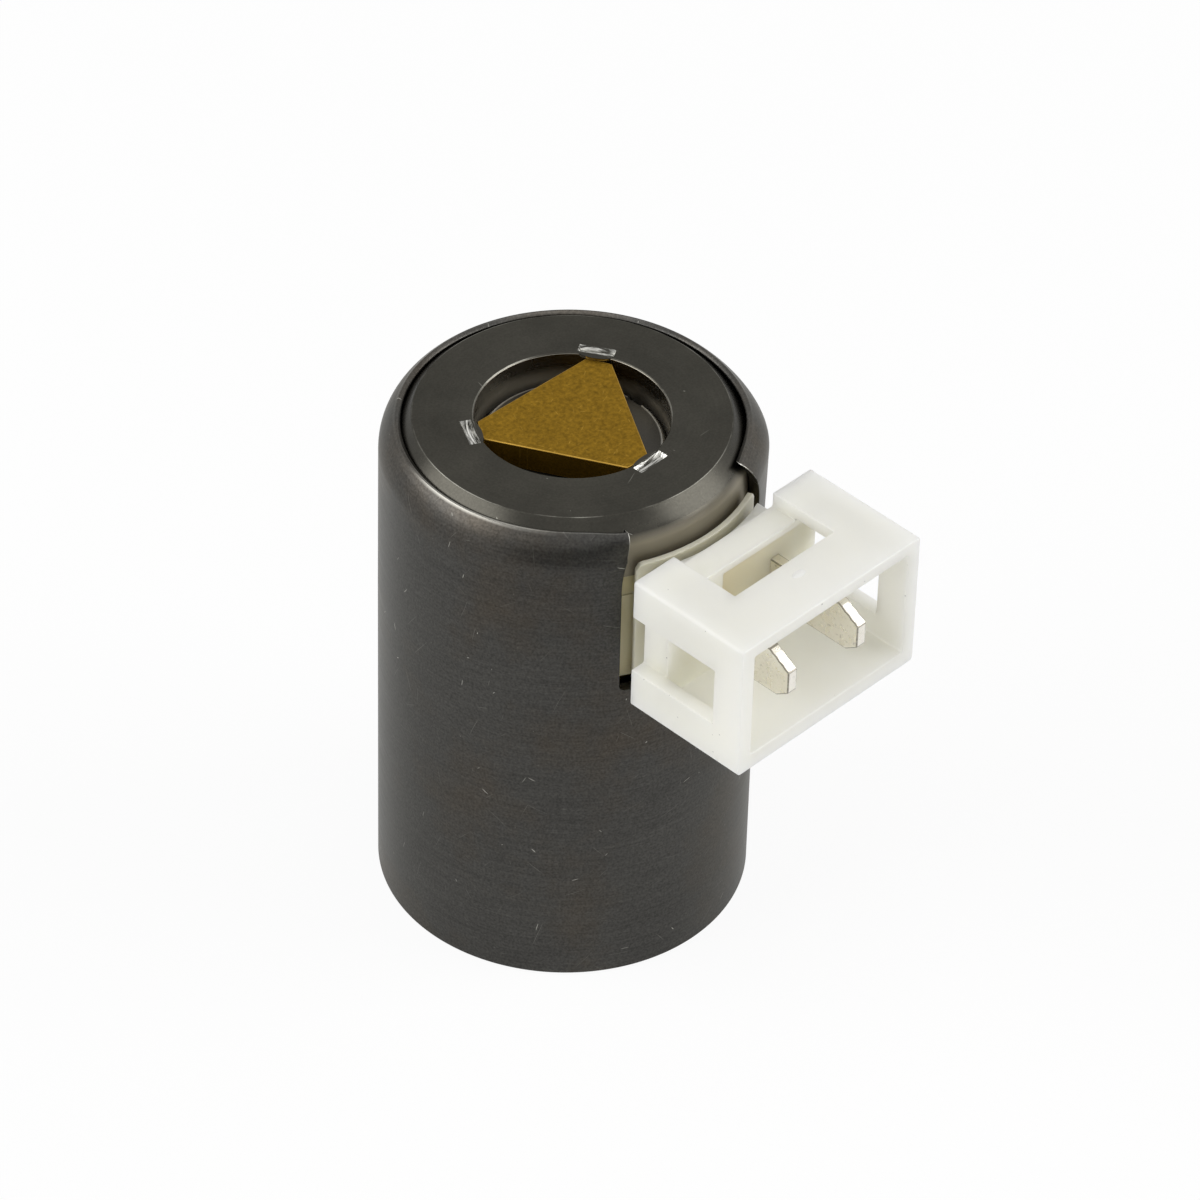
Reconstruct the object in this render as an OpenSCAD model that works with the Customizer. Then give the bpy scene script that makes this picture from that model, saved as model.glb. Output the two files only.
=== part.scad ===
// Tubular push solenoid that locks a gear selector.
// The origin is the centre of the base face, +Z runs up the can, and the connector stands out along -Y.
// Sizes are in millimetres.

/* [Can] */
// Outside diameter of the can
can_d = 25; // [24:0.1:28]
// Height of the pole plate's face above the base
body_h = 37.7; // [36:0.1:44]
// Wall of the can
can_wall = 0.85; // [0.75:0.05:1]
// Thickness of the can's base
base_t = 1.5; // [1.2:0.1:2]
// Edge break round the foot of the can
base_break = 0.1; // [0.1:0.05:0.4]
// Height of the plain round barrel, below the stretch that the closing die draws in
barrel_h = 24; // [20:0.5:24]
// How far the closing die draws the wall in above the barrel
draw_in = 0.03; // [0.01:0.01:0.06]
// Radius of the shoulder at the mouth
shoulder_r = 3.2; // [2.6:0.1:3.6]
// How far the lip's outer corner is rolled in from the can's outside
lip_roll = 1.15; // [1:0.05:1.3]
// Depth of that corner below the pole plate's face
lip_drop = 0.33; // [0.25:0.01:0.45]
// Thickness of the rolled lip at its end
lip_t = 0.45; // [0.4:0.05:0.55]
// Slope of the lip's end face
lip_slope = 32; // [25:1:40]
// Width of the slot for the connector
slot_w = 12.5; // [12:0.1:12.8]
// Width of the slot at the mouth, where the rolling closed it
mouth_w = 9.1; // [8.8:0.1:10.4]
// How far the closed mouth lies to one side
mouth_shift = 0.4; // [0:0.05:0.5]
// Depth below the pole plate's face at which the slot starts to close
close_drop = 4.7; // [4:0.1:5]
// Height of the slot's floor above the base
slot_floor = 24.7; // [24.5:0.1:25.2]
// Corner radius at the slot's floor
slot_corner = 0.4; // [0.2:0.1:0.8]

/* [Pole plate] */
// Thickness of the pole plate
plate_t = 4.2; // [3.8:0.1:4.8]
// Chamfer that the lip is rolled over
plate_chamfer = 1.28; // [1.1:0.02:1.4]
// Radius between that chamfer and the plate's side
rim_round = 1.5; // [1:0.1:2]
// Edge break round the bore
bore_break = 0.12; // [0.05:0.01:0.2]
// Length of a stake dent, along the bore's edge
stake_len = 2.45; // [2:0.05:3]
// Width of a stake dent, across the bore's edge
stake_w = 0.72; // [0.5:0.02:0.9]
// Depth of a stake dent
stake_depth = 0.3; // [0.2:0.02:0.4]
// Wall left between a stake dent and the bore
stake_land = 0.12; // [0.08:0.02:0.2]
// How far the staked metal reaches over the stop's corner
stake_hold = 0.07; // [0.04:0.01:0.13]
// Depth of the staked metal below the pole plate's face
stake_sink = 0.04; // [0.02:0.01:0.06]
// Turn of the stakes from the connector's direction
stake_turn = 1.5; // [-6:0.5:6]

/* [Brass stop] */
// Diameter over the stop's corners
stop_d = 12.24; // [12.2:0.02:12.4]
// Distance from the axis to each flat
stop_flat = 3.82; // [3.4:0.02:4.4]
// Thickness of the stop
stop_t = 1.85; // [1.4:0.05:2]
// Depth of the stop's face below the pole plate's face
stop_drop = 0.24; // [0.22:0.02:0.4]
// Edge break round the stop's face
stop_break = 0.1; // [0.05:0.01:0.15]
// Turn of the stop from the connector's direction
stop_turn = -1.5; // [-6:0.5:6]

/* [Plunger] */
// Diameter of the plunger
plunger_d = 12.4; // [12.3:0.02:12.44]
// Length of the plunger
plunger_len = 19; // [17:0.5:21]
// Travel of the plunger
stroke = 5; // [3:0.25:6]
// Chamfer round the plunger's top
plunger_chamfer = 0.35; // [0.2:0.05:0.5]
// Diameter of the push pin
pin_d = 3; // [2.6:0.1:3.2]
// Length of the pin that is held in the plunger
pin_hold = 4; // [3:0.5:5]
// Chamfer on each end of the pin
pin_chamfer = 0.4; // [0.2:0.05:0.6]
// How far the pin's end lies inside the base when the coil is off
pin_recess = 0.4; // [0.2:0.05:0.6]
// Depth of the vent groove down each side of the plunger
vent_depth = 0.5; // [0.3:0.05:0.8]
// Width of the vent groove
vent_w = 1.2; // [0.8:0.1:1.6]

/* [Return spring] */
// Wire of the return spring
spring_wire = 0.5; // [0.4:0.05:0.6]
// Outside diameter of the return spring
spring_d = 5.4; // [5.2:0.1:5.8]
// Turns of the return spring
spring_turns = 9; // [7:1:11]
// Depth of the spring's seat in the core
core_seat = 5; // [4:0.25:5.5]
// Depth of the spring's seat in the plunger
plunger_seat = 3; // [2:0.25:4]
// Room round the spring in its seats
spring_room = 0.35; // [0.25:0.05:0.5]

/* [Fixed core] */
// Diameter of the core's riveted foot
foot_d = 8; // [7:0.1:9]
// Depth of the foot's face inside the base
foot_recess = 0.1; // [0.05:0.05:0.2]
// Width of the riveting groove in the foot's face
rivet_w = 0.5; // [0.3:0.05:0.7]
// Wall of the pin's bush
bush_wall = 0.8; // [0.6:0.05:0.9]
// Depth of the bush inside the base
bush_recess = 0.5; // [0.3:0.05:0.8]
// Thickness of the residual washer
residual_t = 0.3; // [0.2:0.05:0.4]
// Width of the residual washer's ring
residual_w = 2.4; // [1.8:0.1:2.6]

/* [Coil] */
// Wall of the guide tube
tube_wall = 0.35; // [0.3:0.05:0.45]
// Wall of the bobbin's barrel
bobbin_wall = 0.8; // [0.7:0.05:1]
// Thickness of the bobbin's top flange
top_flange_t = 1.5; // [1.3:0.05:1.8]
// Thickness of the bobbin's bottom flange
low_flange_t = 1.2; // [1:0.05:1.5]
// Thickness of the wrap over the winding
tape_t = 0.12; // [0.08:0.02:0.16]
// Height of the wave washer
wave_h = 0.8; // [0.6:0.05:1]
// Thickness of the wave washer
wave_t = 0.25; // [0.2:0.05:0.3]
// Width of the wave washer's ring
wave_w = 3; // [2:0.25:3.5]
// Waves round the washer
waves = 3; // [3:1:4]

/* [Connector] */
// Width of the shroud
conn_w = 16.2; // [15.4:0.1:17]
// Height of the shroud
conn_h = 10.25; // [9.8:0.05:10.6]
// Depth of the shroud, from back to front
conn_depth = 9.5; // [9:0.1:11]
// Gap between the can and the shroud's back
conn_gap = 1; // [0.9:0.05:1.5]
// Depth of the shroud's top below the pole plate's face
conn_drop = 1.05; // [0.9:0.05:1.3]
// Side walls of the shroud
shroud_wall = 1.1; // [0.9:0.05:1.2]
// Top wall of the shroud
top_wall = 0.95; // [0.85:0.05:1.1]
// Floor of the shroud
shroud_floor = 1.2; // [1:0.05:1.4]
// Radius along the shroud's long edges
shroud_round = 0.25; // [0.2:0.05:0.6]
// Back wall of the shroud
back_t = 2.1; // [1.8:0.05:2.4]
// Depth of the back wall's top below the shroud's top
shelf_drop = 1.05; // [0.8:0.05:1.2]
// Width of the window in the top
window_w = 9; // [8:0.1:9.4]
// Bar across the front of the top window
bar_w = 4.2; // [3.6:0.1:4.6]
// Rail above and below each side window
rail_h = 2.95; // [2.6:0.05:3]
// Post in front of each side window
post_w = 2.4; // [2:0.1:2.8]
// Width of the back wall's plain end, left of its pocket in the top window
land_w = 2.4; // [2:0.1:2.6]
// Depth of the pocket in the back wall
pocket_depth = 0.45; // [0.3:0.05:0.6]
// Thickness of the shelf above the pocket
pocket_lip = 0.6; // [0.5:0.05:0.8]
// Width of the block behind the back wall that follows the can
hug_w = 9.6; // [9:0.1:10]
// Depth of that block's top below the shelf
hug_drop = 0.8; // [0.6:0.05:1]
// Gap between that block and the can
hug_gap = 0.4; // [0.3:0.05:0.6]
// Width of the neck that stands in the can's slot
neck_w = 8.6; // [8.2:0.1:9.4]
// Height of the neck's foot above the slot's floor
neck_lift = 0.4; // [0.3:0.05:1]
// Width of the saddle strip in the slot
saddle_w = 10.8; // [10:0.1:10.9]
// Thickness of the saddle strip
saddle_t = 0.4; // [0.3:0.05:0.45]
// Depth of the strip's top below the pole plate's face
saddle_drop = 2.75; // [2.6:0.05:3.2]
// Corner radius of the strip
saddle_corner = 0.5; // [0.4:0.1:0.8]
// Width of the inner flange that holds the connector behind the can's wall
keeper_w = 14.4; // [13.8:0.1:15]
// Thickness of that flange
keeper_t = 0.6; // [0.5:0.05:0.65]

/* [Blades] */
// Width of a blade
blade_w = 3.35; // [3:0.05:3.4]
// Thickness of a blade
blade_t = 0.8; // [0.7:0.05:0.9]
// Spacing of the two blades
blade_pitch = 6.35; // [6:0.05:6.6]
// Height of the blades' middle above the shroud's foot
blade_lift = 5.05; // [4.8:0.05:5.3]
// Depth of the blades' tips inside the shroud's mouth
tip_recess = 0.2; // [0.1:0.05:1]
// Length of the long bevel at a tip's upper corner
bevel_len = 1.7; // [1.5:0.1:2.2]
// Drop of the long bevel
bevel_drop = 1; // [0.9:0.05:1.2]
// Length of the short bevel at a tip's lower corner
nip_len = 0.95; // [0.7:0.05:1.2]
// Rise of the short bevel
nip_rise = 0.65; // [0.4:0.05:0.8]
// Edge break along a blade's tip
tip_break = 0.12; // [0.05:0.01:0.18]
// Width of a blade's tail inside the can
tail_w = 1.4; // [1.2:0.1:1.8]
// Length of the tail that stands inside the keeper flange
tail_len = 0.55; // [0.45:0.05:0.6]
// Wire of the winding's leads
lead_d = 0.24; // [0.2:0.02:0.3]
// Height of a solder fillet on its tail
solder_h = 0.5; // [0.4:0.05:0.6]
// Diameter of a solder fillet
solder_d = 0.44; // [0.4:0.02:0.48]
// Rise of a lead from the wrap to its solder fillet
lead_rise = 2.2; // [1.6:0.1:2.6]
// Turn of a lead round the wrap
lead_sweep = 22; // [14:1:28]

/* [Fits] */
// Radial clearance between pieces that are pressed or moulded together
seat_gap = 0.02; // [0.01:0.01:0.03]
// Radial clearance of the plate in the can, and under the lip
plate_gap = 0.05; // [0.03:0.01:0.08]
// Radial running clearance of the plunger and of the pin
run_gap = 0.05; // [0.03:0.01:0.08]
// Radial gap between the plunger and the pole plate's bore
air_gap = 0.15; // [0.1:0.01:0.25]
// Radial clearance of the stop's corners in the pole plate's bore
stop_fit = 0.23; // [0.15:0.01:0.3]
// Radial clearance of the bobbin's flanges in the can
flange_gap = 0.15; // [0.1:0.01:0.3]
// Room for the leads between the wrap and the connector's inner flange
lead_room = 0.92; // [0.8:0.02:1.4]
// Gap left at each end of the plunger's travel
stop_gap = 0.05; // [0.03:0.01:0.08]
// Gap between pieces that lie on each other
lay_gap = 0.05; // [0.03:0.01:0.08]

/* [Hidden] */

$fn = 96;
over = 1;
eps = 0.01;
small_fn = 32;
// Flats along each bent side of the slot
bend_steps = 6;

// Colours
phosphate = [0.23, 0.23, 0.23];
turned_steel = [0.27, 0.27, 0.26];
bright_steel = [0.62, 0.62, 0.60];
brass = [0.55, 0.42, 0.14];
nylon = [0.90, 0.90, 0.86];
bobbin_nylon = [0.76, 0.71, 0.52];
tinned = [0.78, 0.77, 0.72];
copper = [0.60, 0.30, 0.14];
wrap = [0.78, 0.66, 0.22];

// Can and plate, as radii and heights
chamfer_angle = 45;
can_r = can_d / 2;
can_bore_r = can_r - can_wall;
drawn_r = can_r - draw_in;
plate_r = can_bore_r - plate_gap;
plate_low = body_h - plate_t;
rim_z = body_h - plate_chamfer - rim_round * tan(chamfer_angle / 2);
lip_r = can_r - lip_roll;
lip_z = body_h - lip_drop;
shoulder_angle = acos(1 - (drawn_r - lip_r) / shoulder_r);
shoulder_z = lip_z - shoulder_r * sin(shoulder_angle);
lip_in = [lip_r - lip_t * cos(lip_slope), lip_z - lip_t * sin(lip_slope)];
slot_close = body_h - close_drop;
// Sum of radius and height along the plate's chamfer, and along the lip's underside
chamfer_sum = plate_r - plate_chamfer + body_h;
lip_sum = chamfer_sum + plate_gap * sqrt(2);

// Brass stop and plunger
corners = 3;
stop_top = body_h - stop_drop;
stop_low = stop_top - stop_t;
plunger_top = stop_low - stop_gap;
plunger_low = plunger_top - plunger_len;
plunger_r = plunger_d / 2;
stop_r = stop_d / 2;
// The bore clears the plunger and the stop's corners
plate_bore_r = max(plunger_r + air_gap, stop_r + stop_fit);
stake_reach = stop_r - stake_hold;
seat_r = spring_d / 2 + spring_room;
pin_r = pin_d / 2;
pin_top = plunger_low + plunger_seat + pin_hold;

// Core, bush and tube
tube_r = plunger_r + run_gap;
tube_out_r = tube_r + tube_wall;
core_r = tube_r - seat_gap;
core_top = plunger_low - stroke - stop_gap - residual_t;
core_seat_z = core_top - core_seat;
foot_r = foot_d / 2;
bush_r = pin_r + run_gap;
bush_out_r = bush_r + bush_wall;

// Spring
spring_low = core_seat_z + lay_gap;
spring_top = plunger_low + plunger_seat - lay_gap;
spring_r = (spring_d - spring_wire) / 2;

// Bobbin and winding
bobbin_r = tube_out_r + seat_gap;
bobbin_out_r = bobbin_r + bobbin_wall;
flange_r = can_bore_r - flange_gap;
bobbin_low = base_t + wave_h + 2 * lay_gap;
bobbin_top = plate_low - lay_gap;
window_low = bobbin_low + low_flange_t;
window_top = bobbin_top - top_flange_t;
// The winding fills what the connector's inner flange, the leads and the wrap leave
keeper_out_r = can_bore_r - 2 * lay_gap;
keeper_r = keeper_out_r - keeper_t;
tape_out_r = keeper_r - lead_room;
tape_r = tape_out_r - tape_t;
winding_r = bobbin_out_r + seat_gap;
winding_out_r = tape_r - seat_gap;
wave_out_r = flange_r - 4 * lay_gap;

// Connector: distances from the can's axis along -Y, and heights
conn_back = can_r + conn_gap;
conn_top = body_h - conn_drop;
conn_low = conn_top - conn_h;
conn_front = conn_back + conn_depth;
wall_front = conn_back + back_t;
shelf_z = conn_top - shelf_drop;
saddle_top = body_h - saddle_drop;
neck_low = slot_floor + neck_lift;
saddle_out_r = can_r - 2 * lay_gap;
saddle_r = saddle_out_r - saddle_t;
keeper_top = window_top - lay_gap;
hug_r = can_r + hug_gap;
hug_top = shelf_z - hug_drop;

// Blades
blade_z = conn_low + blade_lift;
blade_low = blade_z - blade_w / 2;
tail_low = min(blade_low, keeper_top - lay_gap - tail_w);
blade_tip = conn_front - tip_recess;
tail_back = sqrt(keeper_r * keeper_r - blade_pitch * blade_pitch / 4) - tail_len;
tail_shoulder = conn_back - lay_gap;
tail_mid = tail_back + tail_len / 2;
tail_mid_r = norm([tail_mid, blade_pitch / 2]);
tail_angle = atan2(blade_pitch / 2, tail_mid);
solder_low = tail_low - solder_h;
lead_r = tape_out_r + lead_d / 2 + lay_gap;

// Points round a closed ring, for a tube swept along a path
function ring(centre, across, up, r, n) =
    [for (i = [0 : n - 1]) centre + r * (cos(360 * i / n) * across + sin(360 * i / n) * up)];

// Faces of a tube made of rows of n points, closed at both ends
function tube_faces(rows, n) = concat(
    [[for (i = [0 : n - 1]) i]],
    [for (k = [0 : rows - 2], i = [0 : n - 1])
        [k * n + i, (k + 1) * n + i, (k + 1) * n + (i + 1) % n, k * n + (i + 1) % n]],
    [[for (i = [n - 1 : -1 : 0]) (rows - 1) * n + i]]);

// A plain ring between two radii and two heights
module collar(r_in, r_out, z_low, z_high) {
    translate([0, 0, z_low])
        difference() {
            cylinder(r = r_out, h = z_high - z_low);
            translate([0, 0, -over])
                cylinder(r = r_in, h = z_high - z_low + 2 * over);
        }
}

// A box across the connector, between two distances from the can's axis and two heights
module block(width, from, to, z_low, z_high) {
    translate([-width / 2, -to, z_low])
        cube([width, to - from, z_high - z_low]);
}

// A rectangle with round corners, standing on the X axis
module round_rect(width, height, r) {
    translate([-width / 2 + r, 0])
        square([width - 2 * r, height]);
    translate([-width / 2, r])
        square([width, height - 2 * r]);
    for (side = [-1, 1], end = [r, height - r])
        translate([side * (width / 2 - r), end])
            circle(r = r, $fn = small_fn);
}

// The same rectangle as a bar along -Y
module round_bar(width, height, r, from, to, z_low) {
    translate([0, -from, z_low])
        rotate([90, 0, 0])
            linear_extrude(to - from)
                round_rect(width, height, r);
}

// Everything above the lip's end face
module lip_trim() {
    translate(lip_in)
        rotate(lip_slope)
            translate([-can_r, 0])
                square([2 * can_r, can_r]);
}

// Half profile of the can: a straight wall with a rolled shoulder and a lip
module can_profile() {
    difference() {
        union() {
            polygon([[0, 0], [can_r - base_break, 0], [can_r, base_break], [can_r, barrel_h],
                [drawn_r, shoulder_z], [0, shoulder_z]]);
            translate([drawn_r - shoulder_r, shoulder_z])
                intersection() {
                    circle(r = shoulder_r);
                    square(shoulder_r);
                }
        }
        translate([-eps, base_t])
            square([can_bore_r + eps, body_h]);
        translate([-eps, -over])
            square([foot_r + seat_gap + eps, base_t + 2 * over]);
        lip_trim();
    }
    // The lip lies along the plate's chamfer
    difference() {
        intersection() {
            translate([drawn_r - shoulder_r, shoulder_z])
                circle(r = shoulder_r);
            polygon([[lip_in[0], lip_sum - lip_in[0]], [can_r, lip_sum - can_r], [can_r, body_h],
                [lip_in[0], body_h]]);
        }
        lip_trim();
    }
}

// Points on the side of the slot where it bends in, upright at step 0 and at the mouth at the last step
function slot_side(side, steps) =
    let (
        lean = (slot_w - mouth_w) / 2 + side * mouth_shift,
        bend_r = (close_drop * close_drop + lean * lean) / (2 * lean),
        turn = asin(close_drop / bend_r) / bend_steps
    )
    [for (k = steps)
        [side * (slot_w / 2 - bend_r * (1 - cos(turn * k))), slot_close + bend_r * sin(turn * k)]];

// Slot seen from the connector: straight sides that bend in towards the mouth
module slot_outline() {
    intersection() {
        translate([0, slot_floor])
            round_rect(slot_w, body_h, slot_corner);
        polygon(concat([[-slot_w / 2, 0], [slot_w / 2, 0]], slot_side(1, [0 : bend_steps]),
            slot_side(-1, [bend_steps : -1 : 0])));
    }
}

module can() {
    color(phosphate)
        difference() {
            rotate_extrude()
                can_profile();
            rotate([90, 0, 0])
                translate([0, 0, can_bore_r / 2])
                    linear_extrude(can_r)
                        slot_outline();
        }
}

// Turns a stake's shape to each of the stop's corners
module at_stakes() {
    for (i = [0 : corners - 1])
        rotate(stake_turn - 90 + 360 * i / corners)
            children();
}

module stake_dents() {
    at_stakes()
        translate([plate_bore_r + stake_land, -stake_len / 2, body_h - stake_depth])
            cube([stake_w, stake_len, stake_depth + over]);
}

// Metal that a stake leans into the bore, over a corner of the brass stop
module stake_noses() {
    nose_r = stake_len;
    at_stakes()
        intersection() {
            translate([stake_reach + nose_r, 0, stop_top + seat_gap])
                cylinder(r = nose_r, h = body_h - stop_top - seat_gap - stake_sink);
            translate([0, -stake_len / 2, 0])
                cube([plate_bore_r + stake_land / 2, stake_len, body_h]);
        }
}

module pole_plate() {
    rim_steps = 6;
    rim = [for (i = [0 : rim_steps])
        let (a = chamfer_angle * i / rim_steps)
        [plate_r - rim_round + rim_round * cos(a), rim_z + rim_round * sin(a)]];
    color(turned_steel)
        union() {
            difference() {
                rotate_extrude()
                    polygon(concat([[plate_bore_r, plate_low], [plate_r, plate_low]], rim,
                        [[plate_r - plate_chamfer, body_h], [plate_bore_r + bore_break, body_h],
                            [plate_bore_r, body_h - bore_break]]));
                stake_dents();
            }
            stake_noses();
        }
}

module brass_stop() {
    far = 4 * stop_d;
    color(brass)
        translate([0, 0, stop_low])
            rotate(stop_turn)
                difference() {
                    rotate_extrude()
                        polygon([[0, 0], [stop_r, 0], [stop_r, stop_t - stop_break],
                            [stop_r - stop_break, stop_t], [0, stop_t]]);
                    for (i = [0 : corners - 1])
                        rotate(90 + 360 * i / corners) {
                            translate([stop_flat, -far / 2, -over])
                                cube([far, far, stop_t + 2 * over]);
                            translate([stop_flat, -far / 2, stop_t - stop_break])
                                rotate([0, -45, 0])
                                    cube([far, far, far]);
                        }
                }
}

module plunger() {
    color(bright_steel)
        difference() {
            rotate_extrude()
                polygon([[0, plunger_low], [plunger_r - plunger_chamfer, plunger_low],
                    [plunger_r, plunger_low + plunger_chamfer], [plunger_r, plunger_top - plunger_chamfer],
                    [plunger_r - plunger_chamfer, plunger_top], [0, plunger_top]]);
            translate([0, 0, plunger_low - over])
                cylinder(r = seat_r, h = plunger_seat + over);
            translate([0, 0, plunger_low])
                cylinder(r = pin_r + seat_gap, h = plunger_seat + pin_hold + lay_gap);
            // Air passes these grooves as the plunger moves
            for (side = [-1, 1])
                translate([side * plunger_r - vent_depth, -vent_w / 2, plunger_low - over])
                    cube([2 * vent_depth, vent_w, plunger_len + 2 * over]);
        }
}

module push_pin() {
    tip_r = pin_r - pin_chamfer;
    color(bright_steel)
        rotate_extrude()
            polygon([[0, pin_recess], [tip_r, pin_recess], [pin_r, pin_recess + pin_chamfer],
                [pin_r, pin_top - pin_chamfer], [tip_r, pin_top], [0, pin_top]]);
}

// Helix of round wire with a closed turn at each end
module return_spring() {
    sides = 8;
    steps = 16;
    rows = spring_turns * steps + 1;
    wire_r = spring_wire / 2;
    rise = spring_top - spring_low - spring_wire;
    end_share = spring_wire / rise;
    function climb(t) = t < 1 ? end_share * t
        : t > spring_turns - 1 ? 1 - end_share * (spring_turns - t)
        : end_share + (1 - 2 * end_share) * (t - 1) / (spring_turns - 2);
    color(bright_steel)
        polyhedron(
            points = [for (k = [0 : rows - 1])
                let (t = k / steps, out = [cos(360 * t), sin(360 * t), 0])
                each ring(spring_r * out + [0, 0, spring_low + wire_r + rise * climb(t)],
                    out, [0, 0, 1], wire_r, sides)],
            faces = tube_faces(rows, sides));
}

module fixed_core() {
    color(bright_steel)
        difference() {
            union() {
                translate([0, 0, base_t])
                    cylinder(r = core_r, h = core_top - base_t);
                translate([0, 0, foot_recess])
                    cylinder(r = foot_r, h = base_t);
            }
            translate([0, 0, core_seat_z])
                cylinder(r = seat_r, h = core_seat + over);
            translate([0, 0, -over])
                cylinder(r = bush_out_r + seat_gap, h = core_top);
            // Groove left by the riveting punch
            rotate_extrude()
                translate([foot_r - 2 * rivet_w, foot_recess])
                    polygon([[0, -over], [rivet_w, -over], [rivet_w, 0], [rivet_w / 2, rivet_w / 2], [0, 0]]);
        }
}

module pin_bush() {
    color(brass)
        collar(bush_r, bush_out_r, bush_recess, core_seat_z);
}

module residual_washer() {
    color(brass)
        collar(core_r - residual_w, core_r, core_top, core_top + residual_t);
}

module guide_tube() {
    color(brass)
        collar(tube_r, tube_out_r, base_t + lay_gap, bobbin_top);
}

module bobbin() {
    color(bobbin_nylon)
        rotate_extrude()
            polygon([[bobbin_r, bobbin_low], [flange_r, bobbin_low], [flange_r, window_low],
                [bobbin_out_r, window_low], [bobbin_out_r, window_top], [flange_r, window_top],
                [flange_r, bobbin_top], [bobbin_r, bobbin_top]]);
}

module winding() {
    color(copper)
        collar(winding_r, winding_out_r, window_low + lay_gap, window_top - lay_gap);
}

module coil_tape() {
    color(wrap)
        collar(tape_r, tape_out_r, window_low + lay_gap, window_top - lay_gap);
}

// Flat spring ring bent into waves
module wave_washer() {
    steps = 24 * waves;
    sway = (wave_h - wave_t) / 2;
    middle = base_t + lay_gap + wave_h / 2;
    color(bright_steel)
        polyhedron(
            points = [for (k = [0 : steps - 1])
                let (a = 360 * k / steps, z = middle + sway * cos(waves * a), out = [cos(a), sin(a), 0])
                each [for (q = [[wave_out_r - wave_w, -1], [wave_out_r, -1], [wave_out_r, 1],
                    [wave_out_r - wave_w, 1]]) q[0] * out + [0, 0, z + q[1] * wave_t / 2]]],
            faces = [for (k = [0 : steps - 1], i = [0 : 3])
                [k * 4 + i, ((k + 1) % steps) * 4 + i, ((k + 1) % steps) * 4 + (i + 1) % 4,
                    k * 4 + (i + 1) % 4]]);
}

// Outside of the shroud, with its windows and its open front cut out
module shroud() {
    inner_w = conn_w - 2 * shroud_wall;
    inner_low = conn_low + shroud_floor;
    inner_top = conn_top - top_wall;
    pocket_w = (inner_w + window_w) / 2 - land_w;
    difference() {
        round_bar(conn_w, conn_h, shroud_round, conn_back, conn_front, conn_low);
        // Room for the plug
        block(inner_w, wall_front, conn_front + over, inner_low, inner_top);
        // Top window, open to the back above the shelf
        block(window_w, wall_front, conn_front - bar_w, inner_low, conn_top + over);
        block(window_w, conn_back - over, wall_front + over, shelf_z, conn_top + over);
        // Side windows, open to the back
        for (side = [-1, 1])
            translate([side * conn_w / 2, 0, 0])
                block(2 * shroud_wall, conn_back - over, conn_front - post_w, conn_low + rail_h,
                    conn_top - rail_h);
        // Pocket in the back wall, under the shelf
        translate([(inner_w - pocket_w) / 2, 0, 0])
            block(pocket_w, wall_front - pocket_depth, wall_front + over, inner_low, shelf_z - pocket_lip);
    }
}

// Back of the shroud where it hugs the can
module hug() {
    difference() {
        block(hug_w, can_bore_r, conn_back + eps, conn_low, hug_top);
        translate([0, 0, conn_low - over])
            cylinder(r = hug_r, h = hug_top - conn_low + 2 * over);
    }
}

// Curved strip in the can's slot, and the wider flange behind the can's wall
module saddle() {
    intersection() {
        collar(saddle_r, saddle_out_r, neck_low, saddle_top);
        round_bar(saddle_w, saddle_top - neck_low, saddle_corner, 0, can_r, neck_low);
    }
    intersection() {
        collar(keeper_r, keeper_out_r, neck_low, keeper_top);
        block(keeper_w, 0, can_r, neck_low, keeper_top);
    }
    difference() {
        block(neck_w, can_bore_r / 2, conn_back + eps, neck_low, keeper_top);
        translate([0, 0, neck_low - over])
            cylinder(r = (keeper_r + keeper_out_r) / 2, h = keeper_top - neck_low + 2 * over);
    }
}

module blade_slots() {
    for (side = [-1, 1])
        translate([side * blade_pitch / 2, 0, 0])
            block(blade_t + 2 * seat_gap, 0, wall_front, tail_low - seat_gap, tail_low + tail_w + seat_gap);
    for (side = [-1, 1])
        translate([side * blade_pitch / 2, 0, 0])
            block(blade_t + 2 * seat_gap, tail_shoulder, conn_front, blade_low - seat_gap,
                blade_low + blade_w + seat_gap);
}

module connector_housing() {
    color(nylon)
        difference() {
            union() {
                shroud();
                hug();
                saddle();
            }
            blade_slots();
        }
}

// Blade seen from its side: tip with a long upper bevel and a short lower one, and a narrow tail
module blade_outline() {
    blade_top = blade_low + blade_w;
    blade_back = tail_shoulder + seat_gap;
    polygon([[blade_back, blade_low], [blade_tip - nip_len, blade_low], [blade_tip, blade_low + nip_rise],
        [blade_tip, blade_top - bevel_drop], [blade_tip - bevel_len, blade_top], [blade_back, blade_top]]);
    translate([tail_back, tail_low])
        square([blade_back + over - tail_back, tail_w]);
}

module blade(side) {
    color(tinned)
        translate([side * blade_pitch / 2, 0, 0])
            difference() {
                rotate([90, 0, -90])
                    translate([0, 0, -blade_t / 2])
                        linear_extrude(blade_t)
                            blade_outline();
                // Edge breaks on both faces of the tip
                for (face = [-1, 1])
                    translate([face * blade_t / 2, -blade_tip, blade_low - over])
                        rotate(45)
                            translate([-tip_break, -tip_break, 0])
                                cube([2 * tip_break, 2 * tip_break, blade_w + 2 * over]);
            }
}

module terminal_left() {
    blade(-1);
}

module terminal_right() {
    blade(1);
}

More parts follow.
